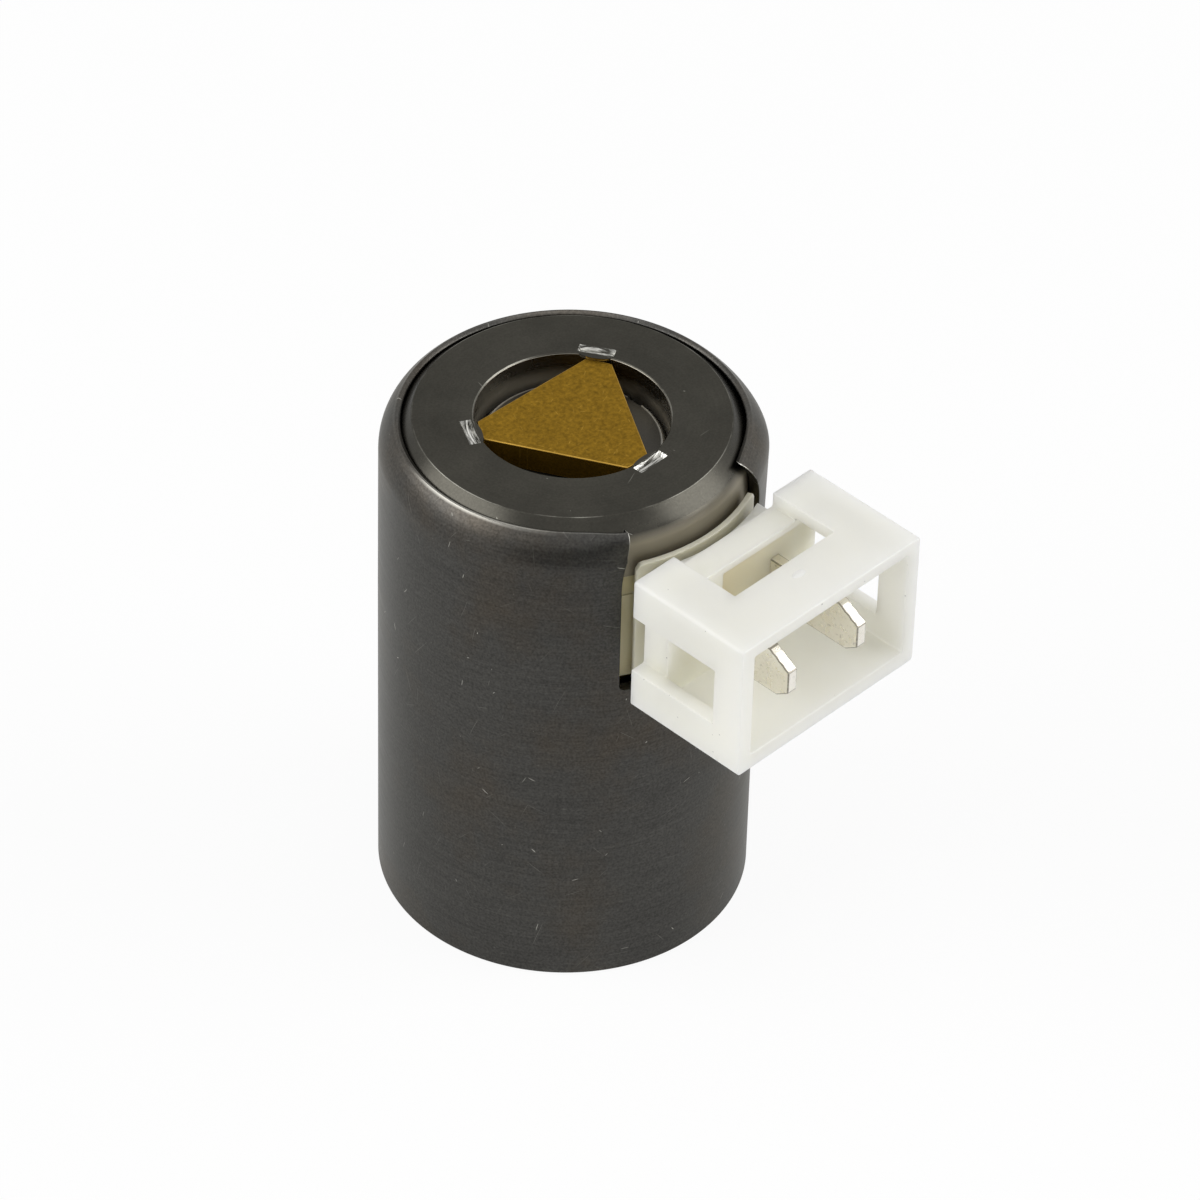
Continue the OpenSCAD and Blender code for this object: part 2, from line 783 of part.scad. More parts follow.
// Wire that leaves the wrap, turns round it and rises to the solder fillet under a tail
module lead(side) {
    sides = 8;
    rows = 13;
    turn_rows = 9;
    climb_power = 1.5;
    low = solder_low - lead_rise;
    points = [for (k = [0 : rows - 1])
        let (s = (1 - cos(180 * min(k / turn_rows, 1))) / 2, r = lead_r + (tail_mid_r - lead_r) * s,
            a = -90 + side * (tail_angle + lead_sweep * (1 - s)))
        [r * cos(a), r * sin(a), low + lead_rise * pow(k / (rows - 1), climb_power)]];
    color(copper)
        polyhedron(
            points = [for (k = [0 : rows - 1])
                let (p = points[k], out = [p[0], p[1], 0] / norm([p[0], p[1]]),
                    along = k == 0 ? points[1] - p
                        : k > turn_rows ? [0, 0, 1]
                        : points[k + 1] - points[k - 1],
                    side_way = cross(along, out) / norm(cross(along, out)))
                each ring(p, side_way, out, lead_d / 2, sides)],
            faces = tube_faces(rows, sides));
}

module lead_start() {
    lead(-1);
}

module lead_finish() {
    lead(1);
}

module solder_joints() {
    color(tinned)
        for (side = [-1, 1])
            translate([side * blade_pitch / 2, -tail_mid, solder_low])
                cylinder(d1 = lead_d + 2 * seat_gap, d2 = solder_d, h = solder_h, $fn = small_fn);
}

can();
pole_plate();
brass_stop();
plunger();
push_pin();
return_spring();
fixed_core();
pin_bush();
residual_washer();
guide_tube();
bobbin();
winding();
coil_tape();
wave_washer();
connector_housing();
terminal_left();
terminal_right();
lead_start();
lead_finish();
solder_joints();
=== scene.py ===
import math

import bmesh
import bpy
from mathutils import Matrix, Vector


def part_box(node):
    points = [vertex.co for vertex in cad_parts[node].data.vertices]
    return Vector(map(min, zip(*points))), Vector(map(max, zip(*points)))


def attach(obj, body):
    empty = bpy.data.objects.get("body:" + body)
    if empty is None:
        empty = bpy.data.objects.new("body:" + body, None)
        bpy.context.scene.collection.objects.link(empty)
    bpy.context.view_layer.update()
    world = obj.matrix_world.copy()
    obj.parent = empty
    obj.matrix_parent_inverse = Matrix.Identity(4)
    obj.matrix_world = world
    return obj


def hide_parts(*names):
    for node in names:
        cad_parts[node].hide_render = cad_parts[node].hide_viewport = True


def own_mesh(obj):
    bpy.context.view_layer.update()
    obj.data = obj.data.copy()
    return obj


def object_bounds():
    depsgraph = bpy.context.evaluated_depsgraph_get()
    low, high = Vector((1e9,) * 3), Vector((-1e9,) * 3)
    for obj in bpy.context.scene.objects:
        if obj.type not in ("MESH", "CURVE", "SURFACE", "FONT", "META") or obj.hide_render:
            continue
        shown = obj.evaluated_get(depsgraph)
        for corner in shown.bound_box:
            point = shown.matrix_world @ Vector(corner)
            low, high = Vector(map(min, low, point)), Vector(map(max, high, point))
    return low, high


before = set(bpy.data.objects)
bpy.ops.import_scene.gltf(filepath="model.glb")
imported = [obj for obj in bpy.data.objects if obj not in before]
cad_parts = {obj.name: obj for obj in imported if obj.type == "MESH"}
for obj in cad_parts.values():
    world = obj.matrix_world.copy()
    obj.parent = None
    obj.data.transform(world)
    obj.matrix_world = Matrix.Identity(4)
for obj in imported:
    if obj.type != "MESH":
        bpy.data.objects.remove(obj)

cadLow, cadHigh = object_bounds()
mm = 0.001
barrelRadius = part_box("can")[1].x / mm
scene = bpy.context.scene
scene.view_settings.view_transform = "Standard"
print("frame loaded:", len(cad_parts), "nodes")


# Direction by angle round the part from the connector's side, and by rise above the floor, in degrees
def fromAngles(turn, rise):
    turn, rise = math.radians(turn), math.radians(rise)
    return Vector((math.sin(turn) * math.cos(rise), -math.cos(turn) * math.cos(rise), math.sin(rise)))


# Small tools for materials

noiseSpan = {1: 0.3, 2: 0.7}    # most of a noise pattern's values lie in this range
seamTurn = 136                  # degrees that bring the seam of a wrapped pattern to the back
scratchForm = {"wave": 2, "bend": 0.35, "blunt": 3.0}   # wave and bend in scratch lengths, and blunt ends


def linear(hexText):
    channels = [int(hexText[i:i + 2], 16) / 255 for i in (1, 3, 5)]
    return [c / 12.92 if c <= 0.04045 else ((c + 0.055) / 1.055) ** 2.4 for c in channels] + [1.0]


def newMaterial(name):
    material = bpy.data.materials.new(name)
    material.use_nodes = True
    return material, material.node_tree, material.node_tree.nodes["Principled BSDF"]


# Socket numbers: MapRange has 0 value, 1 and 2 from, 3 and 4 to; Mix has 0 factor, 6 and 7 colours, 2 result
def addNode(tree, kind, links=None, **settings):
    node = tree.nodes.new("ShaderNode" + kind)
    for name, value in settings.items():
        setattr(node, name, value)
    for socket, value in (links or {}).items():
        if isinstance(value, bpy.types.NodeSocket):
            tree.links.new(value, node.inputs[socket])
        else:
            node.inputs[socket].default_value = value
    return node


def perMm(size):
    return 1 / (size * mm)   # texture scale for a pattern of that size in millimetres


# MapRange settings that go from 0 at one size to 1 at another, in millimetres
def between(sizes):
    return {1: sizes[0] * mm, 2: sizes[1] * mm, 3: 0.0, 4: 1.0}


# Makes a colour darker and lighter by a pattern, between two factors
def toned(tree, colour, pattern, dark, light, span=noiseSpan):
    factor = addNode(tree, "MapRange", {0: pattern, **span, 3: dark, 4: light})
    return addNode(tree, "VectorMath", {0: colour, "Scale": factor.outputs[0]}, operation="SCALE").outputs[0]


# Links a colour, a roughness, and a relief with its depth in millimetres, to a shader
def finishSurface(tree, shader, colour, gloss, relief, strength, depth):
    bump = addNode(tree, "Bump", {"Height": relief, "Strength": strength, "Distance": depth * mm})
    for socket, value in (("Base Color", colour), ("Roughness", gloss), ("Normal", bump.outputs[0])):
        tree.links.new(value, shader.inputs[socket])


# Position on the part, the same wrapped off a round wall with its seam at the back, and height, in metres
def wrapped(tree, radius):
    place = addNode(tree, "TexCoord").outputs["Object"]
    turned = addNode(tree, "VectorRotate", {"Vector": place, "Angle": math.radians(seamTurn)},
                     rotation_type="Z_AXIS")
    axes = addNode(tree, "SeparateXYZ", {0: turned.outputs[0]})
    angle = addNode(tree, "Math", {0: axes.outputs["Y"], 1: axes.outputs["X"]}, operation="ARCTAN2")
    around = addNode(tree, "Math", {0: angle.outputs[0], 1: radius * mm}, operation="MULTIPLY")
    sheet = addNode(tree, "CombineXYZ", {"X": around.outputs[0], "Y": axes.outputs["Z"]})
    return place, sheet.outputs[0], axes.outputs["Z"]


# The position's axes, its place seen from above, and its distance from the part's centre line
def fromAbove(tree, place):
    axes = addNode(tree, "SeparateXYZ", {0: place})
    flat = addNode(tree, "CombineXYZ", {"X": axes.outputs["X"], "Y": axes.outputs["Y"]})
    reach = addNode(tree, "VectorMath", {0: flat.outputs[0]}, operation="LENGTH")
    return axes, flat.outputs[0], reach.outputs["Value"]


# A thin ring on a lathe-turned piece, at a radius and height, fading out over a width
def ringMask(tree, place, radius, height, width):
    axes, _, reach = fromAbove(tree, place)
    profile = addNode(tree, "CombineXYZ", {"X": reach, "Y": axes.outputs["Z"]})
    away = addNode(tree, "VectorMath", {0: profile.outputs[0], 1: (radius * mm, height * mm, 0)},
                   operation="DISTANCE")
    mask = addNode(tree, "MapRange", {0: away.outputs["Value"], 1: width * mm, 2: 0.0, 3: 0.0, 4: 1.0})
    return mask.outputs[0]


# One short bent scratch in a share of the cells of a flat pattern, each at its own angle, in millimetres
def scratches(tree, sheet, cell, length, width, share):
    wave = perMm(length * scratchForm["wave"])
    bend = length * mm * scratchForm["bend"]
    bent = addNode(tree, "TexNoise", {"Vector": sheet, "Scale": wave, "Detail": 1.0}, noise_dimensions="2D")
    sway = addNode(tree, "VectorMath", {0: bent.outputs["Color"], 1: (0.5, 0.5, 0.5)}, operation="SUBTRACT")
    swayed = addNode(tree, "VectorMath", {0: sway.outputs[0], 1: (bend, bend, bend), 2: sheet},
                     operation="MULTIPLY_ADD").outputs[0]
    cells = addNode(tree, "TexVoronoi", {"Vector": swayed, "Scale": perMm(cell)}, voronoi_dimensions="2D")
    offset = addNode(tree, "VectorMath", {0: swayed, 1: cells.outputs["Position"]}, operation="SUBTRACT")
    luck = addNode(tree, "SeparateColor", {0: cells.outputs["Color"]})
    angle = addNode(tree, "Math", {0: luck.outputs[0], 1: math.tau}, operation="MULTIPLY")
    local = addNode(tree, "VectorRotate", {"Vector": offset.outputs[0], "Angle": angle.outputs[0]},
                    rotation_type="Z_AXIS")
    sizes = addNode(tree, "VectorMath", {0: local.outputs[0]}, operation="ABSOLUTE")
    axes = addNode(tree, "SeparateXYZ", {0: sizes.outputs[0]})
    half = addNode(tree, "Math", {0: luck.outputs[2], 1: length * mm / 2}, operation="MULTIPLY")
    inside = addNode(tree, "MapRange", {0: axes.outputs["X"], 1: half.outputs[0], 2: 0.0, 3: 0.0,
                                        4: scratchForm["blunt"]})
    line = addNode(tree, "MapRange", {0: axes.outputs["Y"], 1: width * mm / 2, 2: 0.0, 3: 0.0, 4: 1.0})
    chosen = addNode(tree, "MapRange", {0: luck.outputs[1], 1: 1 - share, 2: 1.0, 3: 0.0, 4: 1.0})
    strength = addNode(tree, "Math", {0: line.outputs[0], 1: inside.outputs[0]},
                       operation="MULTIPLY", use_clamp=True)
    mask = addNode(tree, "Math", {0: strength.outputs[0], 1: chosen.outputs[0]}, operation="MULTIPLY")
    return mask.outputs[0]


# Small tools for meshes, all in millimetres

weld = {"points": 0.0001, "afterCuts": 0.001, "flatAngle": 0.3}    # what is nearer or flatter is joined


def makeObject(name, bm):
    bmesh.ops.remove_doubles(bm, verts=bm.verts, dist=weld["points"] * mm)
    bmesh.ops.recalc_face_normals(bm, faces=bm.faces)
    mesh = bpy.data.meshes.new(name)
    bm.to_mesh(mesh)
    bm.free()
    obj = bpy.data.objects.new(name, mesh)
    scene.collection.objects.link(obj)
    return obj


# Rounds the corners of an outline, given a radius for each corner's place in the list
def filleted(points, radii, steps=6):
    rounded = []
    for i, point in enumerate(points):
        corner = Vector(point)
        if i not in radii:
            rounded.append(tuple(corner))
            continue
        toLast = (Vector(points[i - 1]) - corner).normalized()
        toNext = (Vector(points[(i + 1) % len(points)]) - corner).normalized()
        half = toLast.angle(toNext) / 2
        centre = corner + (toLast + toNext).normalized() * (radii[i] / math.sin(half))
        start = corner + toLast * (radii[i] / math.tan(half)) - centre
        sweep = start.angle_signed(corner + toNext * (radii[i] / math.tan(half)) - centre)
        for k in range(steps + 1):
            a = -sweep * k / steps
            rounded.append((centre.x + start.x * math.cos(a) - start.y * math.sin(a),
                            centre.y + start.x * math.sin(a) + start.y * math.cos(a)))
    return rounded


def lathe(name, outline, segments):
    bm = bmesh.new()
    rings = []
    for i in range(segments):
        a = math.tau * i / segments
        rings.append([bm.verts.new((r * math.cos(a) * mm, r * math.sin(a) * mm, z * mm)) for r, z in outline])
    for i, near in enumerate(rings):
        far = rings[(i + 1) % segments]
        for k in range(len(outline)):
            j = (k + 1) % len(outline)
            if outline[k][0] or outline[j][0]:
                bm.faces.new((near[k], far[k], far[j], near[j]))
    return makeObject(name, bm)


# A skin over a row of rings that have as many points each, closed at both ends
def loft(name, rings, place=Matrix.Identity(4)):
    bm = bmesh.new()
    rows = [[bm.verts.new([c * mm for c in point]) for point in glintRing] for glintRing in rings]
    bm.faces.new(rows[0])
    bm.faces.new(rows[-1])
    for near, far in zip(rows, rows[1:]):
        for k in range(len(near)):
            j = (k + 1) % len(near)
            bm.faces.new((near[k], near[j], far[j], far[k]))
    bmesh.ops.transform(bm, matrix=place, verts=bm.verts)
    return makeObject(name, bm)


def prism(name, outline, low, high, place=Matrix.Identity(4)):
    return loft(name, [[(x, y, z) for x, y in outline] for z in (low, high)], place)


def block(name, low, high):
    corners = [(low[0], low[1]), (high[0], low[1]), (high[0], high[1]), (low[0], high[1])]
    return prism(name, corners, low[2], high[2])


# Stands an outline up, so that it is drawn in x and z and pushed out toward the connector
def upright(out):
    return Matrix.Translation((0, -out * mm, 0)) @ Matrix.Rotation(math.radians(90), 4, "X")


def roundRect(left, right, low, high, radius, steps=6):
    points = []
    for x, y, start in ((right - radius, low + radius, -90), (right - radius, high - radius, 0),
                        (left + radius, high - radius, 90), (left + radius, low + radius, 180)):
        for k in range(steps + 1):
            a = math.radians(start + 90 * k / steps)
            points.append((x + radius * math.cos(a), y + radius * math.sin(a)))
    return points


def settle(obj):
    bpy.context.view_layer.update()
    depsgraph = bpy.context.evaluated_depsgraph_get()
    before = obj.data
    after = bpy.data.meshes.new_from_object(obj.evaluated_get(depsgraph))
    obj.modifiers.clear()
    obj.data = after
    bpy.data.meshes.remove(before)


def combine(obj, tools, operation):
    for tool in tools:
        modifier = obj.modifiers.new("combine", "BOOLEAN")
        modifier.object = tool
        modifier.operation = operation
        modifier.solver = "EXACT"
        modifier.material_mode = "TRANSFER"
    settle(obj)
    for tool in tools:
        bpy.data.objects.remove(tool)


def soften(obj, width, segments=3, angle=32, mergeFlats=False, edgeMaterial=None):
    bm = bmesh.new()
    bm.from_mesh(obj.data)
    bmesh.ops.remove_doubles(bm, verts=bm.verts, dist=weld["afterCuts"] * mm)
    if mergeFlats:
        bmesh.ops.dissolve_limit(bm, angle_limit=math.radians(weld["flatAngle"]), verts=bm.verts,
                                 edges=bm.edges, delimit={"MATERIAL"})
    bm.to_mesh(obj.data)
    bm.free()
    bevel = obj.modifiers.new("edges", "BEVEL")
    bevel.width = width * mm
    bevel.segments = segments
    bevel.limit_method = "ANGLE"
    bevel.angle_limit = math.radians(angle)
    bevel.use_clamp_overlap = False
    bevel.miter_outer = "MITER_ARC"
    if edgeMaterial:
        obj.data.materials.append(edgeMaterial)
        bevel.material = len(obj.data.materials) - 1
    settle(obj)


def smooth(obj, angle=28):
    for face in obj.data.polygons:
        face.use_smooth = True
    obj.data.set_sharp_from_angle(angle=math.radians(angle))
    weighted = obj.modifiers.new("normals", "WEIGHTED_NORMAL")
    weighted.keep_sharp = True
    settle(obj)


def install(obj, node, body):
    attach(obj, body)
    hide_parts(node)


def dress(obj, material):
    if obj.data.materials:
        obj.data.materials[0] = material
    else:
        obj.data.materials.append(material)


# Phosphated steel tube, drawn and then turned: dark grey, half dull, with fine lines round it,
# small bright scuffs, and a painted highlight along the lip, fullest on one side. Sizes in millimetres
canFinish = {
    "lineLength": 5, "lineWidth": 0.16,    # turning lines are about 0.05 wide, drawn coarser to show
    "grain": 0.16,                         # phosphate crystals are about 0.01 across, drawn coarser to show
    "clouds": 7, "stains": 11,
    "nicks": (2.2, 0.7, 0.055, 0.36),      # cell, length, width and share of the cells
    "hairs": (1.9, 2.6, 0.035, 0.7),       # hair scratches are about 0.01 wide, drawn wider to show
    "hairStrength": 0.2,
    "scuffed": (0.05, 0.3),                # scuffs come in between these heights, above the base
    "lip": (37.16, 37.3),                  # and the painted highlight on the lip between these
    "highlightTurn": -80,                        # the side where the lip's painted highlight is fullest, in degrees from the connector
    "highlightOut": (9.8, 11.3),                 # how far out on that side the painted highlight begins and is full
    "highlightShare": (0.02, 0.36), "lipGloss": -0.18,
}


def phosphatedSteel():
    material, tree, shader = newMaterial("phosphatedSteelDrawn")
    finish = canFinish
    place, sheet, height = wrapped(tree, barrelRadius)
    length, width = perMm(finish["lineLength"]), perMm(finish["lineWidth"])
    stretched = addNode(tree, "VectorMath", {0: place, 1: (length, length, width)}, operation="MULTIPLY")
    lines = addNode(tree, "TexNoise", {"Vector": stretched.outputs[0], "Scale": 1.0, "Detail": 3.0,
                                       "Roughness": 0.65})
    clouds = addNode(tree, "TexNoise", {"Vector": place, "Scale": perMm(finish["clouds"]), "Detail": 4.0,
                                        "Roughness": 0.6})
    stains = addNode(tree, "TexNoise", {"Vector": place, "Scale": perMm(finish["stains"]), "Detail": 5.0,
                                        "Roughness": 0.65})
    grain = addNode(tree, "TexNoise", {"Vector": place, "Scale": perMm(finish["grain"]), "Detail": 2.0})
    base = addNode(tree, "Mix", {0: clouds.outputs[0], 6: linear("#403f3d"), 7: linear("#4c4b48")},
                   data_type="RGBA")
    oiled = addNode(tree, "MapRange", {0: stains.outputs[0], 1: 0.48, 2: 0.7, 3: 0.0, 4: 0.8})
    stained = addNode(tree, "Mix", {0: oiled.outputs[0], 6: base.outputs[2], 7: linear("#4a443c")},
                      data_type="RGBA")
    lined = toned(tree, stained.outputs[2], lines.outputs[0], 0.84, 1.16)
    grained = toned(tree, lined, grain.outputs[0], 0.76, 1.24)
    nicks = scratches(tree, sheet, *finish["nicks"])
    hairs = scratches(tree, sheet, *finish["hairs"])
    scuffs = addNode(tree, "Math", {0: hairs, 1: finish["hairStrength"], 2: nicks},
                     operation="MULTIPLY_ADD", use_clamp=True)
    offBase = addNode(tree, "MapRange", {0: height, **between(finish["scuffed"])})
    marks = addNode(tree, "Math", {0: scuffs.outputs[0], 1: offBase.outputs[0]}, operation="MULTIPLY")
    # painted highlight: the lip's colour is lightened, most on one side, standing in for a lamp's glint
    lip = addNode(tree, "MapRange", {0: height, **between(finish["lip"])})
    facing = addNode(tree, "VectorMath", {0: place, 1: fromAngles(finish["highlightTurn"], 0)},
                     operation="DOT_PRODUCT")
    brightEdge = addNode(tree, "MapRange", {0: facing.outputs["Value"], **between(finish["highlightOut"]),
                                        3: finish["highlightShare"][0], 4: finish["highlightShare"][1]})
    lipHighlight = addNode(tree, "Math", {0: lip.outputs[0], 1: brightEdge.outputs[0]}, operation="MULTIPLY")
    # scuffs and nicks lighten the colour as real wear; on the lip the same lightening is a painted highlight
    lightened = addNode(tree, "Math", {0: lipHighlight.outputs[0], 1: marks.outputs[0]}, operation="MAXIMUM")
    colour = addNode(tree, "Mix", {0: lightened.outputs[0], 6: grained, 7: linear("#bcbab2")}, data_type="RGBA")
    gloss = addNode(tree, "MapRange", {0: lines.outputs[0], **noiseSpan, 3: 0.36, 4: 0.44})
    worn = addNode(tree, "Math", {0: lip.outputs[0], 1: finish["lipGloss"], 2: gloss.outputs[0]},
                   operation="MULTIPLY_ADD")
    shader.inputs["Metallic"].default_value = 1.0
    shader.inputs["Specular Tint"].default_value = (0.93, 0.93, 0.91, 1)
    finishSurface(tree, shader, colour.outputs[2], worn.outputs[0], lines.outputs[0], 0.25, 0.004)
    return material


# Pole plate, low-carbon steel faced on a lathe and oiled black: dark, with faint rings from the tool,
# bare steel on its side and in its bore, painted lighter there: a painted reflection on the side, painted
# light in the bore. Sizes in millimetres
plateFinish = {
    "rings": 0.22,                       # the tool's rings are about 0.1 apart, drawn coarser to show
    "grain": 0.14,                       # the grain is about 0.03 across, drawn coarser to show
    "clouds": 4,
    "nicks": (3.2, 1.3, 0.06, 0.3),      # cell, length, width and share of the cells
    "nickStrength": 0.6,
    "side": (36.7, 36.0),                # bare steel, lightened as a painted reflection, comes in between these heights, going down
    "chamfer": (37.69, 37.6),            # and the smoother chamfer between these
    "outerEdge": (10.32, 37.7, 0.05),    # rubbed edges: radius, height and width
    "boreEdge": (6.4, 37.68, 0.06),
    "wallReach": (6.38, 6.36),           # where the bore's wall begins, going in and going down
    "wallHeight": (37.65, 37.61),
    "chamferGloss": -0.07, "sideGloss": 0.3,
}


def facedSteel():
    material, tree, shader = newMaterial("blackOiledSteelFaced")
    finish = plateFinish
    place = addNode(tree, "TexCoord").outputs["Object"]
    axes, flat, reach = fromAbove(tree, place)
    ringPlace = addNode(tree, "Math", {0: reach, 1: perMm(finish["rings"])}, operation="MULTIPLY")
    rings = addNode(tree, "TexNoise", {"W": ringPlace.outputs[0], "Scale": 1.0, "Detail": 2.0},
                    noise_dimensions="1D")
    clouds = addNode(tree, "TexNoise", {"Vector": place, "Scale": perMm(finish["clouds"]), "Detail": 4.0,
                                        "Roughness": 0.62})
    grain = addNode(tree, "TexNoise", {"Vector": place, "Scale": perMm(finish["grain"]), "Detail": 2.0})
    base = addNode(tree, "Mix", {0: clouds.outputs[0], 6: linear("#32312d"), 7: linear("#484640")},
                   data_type="RGBA")
    ringed = toned(tree, base.outputs[2], rings.outputs[0], 0.97, 1.03, {1: 0.25, 2: 0.75})
    grained = toned(tree, ringed, grain.outputs[0], 0.9, 1.1)
    nicks = scratches(tree, flat, *finish["nicks"])
    marks = addNode(tree, "Math", {0: nicks, 1: finish["nickStrength"]}, operation="MULTIPLY")
    height = axes.outputs["Z"]
    # painted reflection: the side's lighter bare-steel colour stands in for the bright nylon mirrored there
    side = addNode(tree, "MapRange", {0: height, **between(finish["side"])})
    chamfer = addNode(tree, "MapRange", {0: height, **between(finish["chamfer"])})
    sidePaintedReflection = addNode(tree, "Mix", {0: side.outputs[0], 6: grained, 7: linear("#938d7f")}, data_type="RGBA")
    edges = addNode(tree, "Math", {0: ringMask(tree, place, *finish["outerEdge"]),
                                   1: ringMask(tree, place, *finish["boreEdge"])}, operation="MAXIMUM")
    patches = addNode(tree, "MapRange", {0: clouds.outputs[0], 1: 0.42, 2: 0.62, 3: 0.0, 4: 0.6})
    brightEdge = addNode(tree, "Math", {0: edges.outputs[0], 1: patches.outputs[0]}, operation="MULTIPLY")
    lightened = addNode(tree, "Math", {0: brightEdge.outputs[0], 1: marks.outputs[0]}, operation="MAXIMUM")
    # painted light: the bore's wall is lightened, lifting the shade inside the bore
    inBore = addNode(tree, "MapRange", {0: reach, **between(finish["wallReach"])})
    below = addNode(tree, "MapRange", {0: height, **between(finish["wallHeight"])})
    boreLightMask = addNode(tree, "Math", {0: inBore.outputs[0], 1: below.outputs[0]}, operation="MULTIPLY")
    borePaintedLight = addNode(tree, "Mix", {0: boreLightMask.outputs[0], 6: sidePaintedReflection.outputs[2], 7: linear("#979286")},
                    data_type="RGBA")
    colour = addNode(tree, "Mix", {0: lightened.outputs[0], 6: borePaintedLight.outputs[2], 7: linear("#a9a79e")},
                     data_type="RGBA")
    gloss = addNode(tree, "MapRange", {0: clouds.outputs[0], **noiseSpan, 3: 0.3, 4: 0.38})
    worn = addNode(tree, "Math", {0: chamfer.outputs[0], 1: finish["chamferGloss"], 2: gloss.outputs[0]},
                   operation="MULTIPLY_ADD")
    dulled = addNode(tree, "Math", {0: side.outputs[0], 1: finish["sideGloss"], 2: worn.outputs[0]},
                     operation="MULTIPLY_ADD")
    oily = addNode(tree, "Mix", {0: chamfer.outputs[0], 6: (0.62, 0.62, 0.6, 1), 7: (1, 1, 1, 1)},
                   data_type="RGBA")
    tree.links.new(oily.outputs[2], shader.inputs["Specular Tint"])
    shader.inputs["Metallic"].default_value = 1.0
    finishSurface(tree, shader, colour.outputs[2], dulled.outputs[0], rings.outputs[0], 0.1, 0.003)
    return material


# Steel freshly bruised by the staking punch: bright, streaked along the dent, with dark smears.
# The streaks are drawn coarser than real ones, to show
punchFinish = {"radius": 6.8, "streakLength": 1.4, "streakWidth": 0.13}


def punchedSteel():
    material, tree, shader = newMaterial("brightSteelPunched")
    finish = punchFinish
    place = addNode(tree, "TexCoord").outputs["Object"]
    axes, _, reach = fromAbove(tree, place)
    angle = addNode(tree, "Math", {0: axes.outputs["Y"], 1: axes.outputs["X"]}, operation="ARCTAN2")
    along = addNode(tree, "Math", {0: angle.outputs[0], 1: finish["radius"] / finish["streakLength"]},
                    operation="MULTIPLY")
    across = addNode(tree, "Math", {0: reach, 1: perMm(finish["streakWidth"])}, operation="MULTIPLY")
    sheet = addNode(tree, "CombineXYZ", {"X": along.outputs[0], "Y": across.outputs[0]})
    streaks = addNode(tree, "TexNoise", {"Vector": sheet.outputs[0], "Scale": 1.0, "Detail": 3.0,
                                         "Roughness": 0.6})
    share = addNode(tree, "MapRange", {0: streaks.outputs[0], 1: 0.42, 2: 0.62, 3: 0.0, 4: 1.0})
    colour = addNode(tree, "Mix", {0: share.outputs[0], 6: linear("#45443f"), 7: linear("#dddcd6")},
                     data_type="RGBA")
    gloss = addNode(tree, "MapRange", {0: streaks.outputs[0], **noiseSpan, 3: 0.24, 4: 0.4})
    shader.inputs["Metallic"].default_value = 1.0
    finishSurface(tree, shader, colour.outputs[2], gloss.outputs[0], streaks.outputs[0], 0.6, 0.03)
    return material


# Brass blanked from strip and tumbled: dull gold with tarnish spots and fine rubbed marks
brassFinish = {
    "clouds": 1.6, "spots": 0.3,
    "rubs": (0.55, 0.6, 0.05, 0.7),    # cell, length, width and share; rubs are finer, drawn wider to show
    "rubStrength": 0.4,
}


def tumbledBrass():
    material, tree, shader = newMaterial("brassBlankedTumbled")
    finish = brassFinish
    place = addNode(tree, "TexCoord").outputs["Object"]
    clouds = addNode(tree, "TexNoise", {"Vector": place, "Scale": perMm(finish["clouds"]), "Detail": 5.0,
                                        "Roughness": 0.65})
    spots = addNode(tree, "TexNoise", {"Vector": place, "Scale": perMm(finish["spots"]), "Detail": 4.0,
                                       "Roughness": 0.7})
    base = addNode(tree, "Mix", {0: clouds.outputs[0], 6: linear("#6a5014"), 7: linear("#8b6b20")},
                   data_type="RGBA")
    spotted = toned(tree, base.outputs[2], spots.outputs[0], 0.62, 1.33)
    rubs = scratches(tree, place, *finish["rubs"])
    rubShare = addNode(tree, "Math", {0: rubs, 1: finish["rubStrength"]}, operation="MULTIPLY")
    colour = addNode(tree, "Mix", {0: rubShare.outputs[0], 6: spotted, 7: linear("#c9a24a")},
                     data_type="RGBA")
    gloss = addNode(tree, "MapRange", {0: spots.outputs[0], **noiseSpan, 3: 0.48, 4: 0.34})
    shader.inputs["Metallic"].default_value = 1.0
    shader.inputs["Specular Tint"].default_value = (0.78, 0.74, 0.66, 1)
    finishSurface(tree, shader, colour.outputs[2], gloss.outputs[0], spots.outputs[0], 0.35, 0.012)
    return material


# Natural nylon, injection moulded: milky white, lit through its thin walls, with a soft sheen and few specks
nylonFinish = {
    "flow": 5, "skin": 0.25, "specks": 1.0, "speckSize": 0.07, "speckShare": 0.25, "speckStrength": 0.55,
}


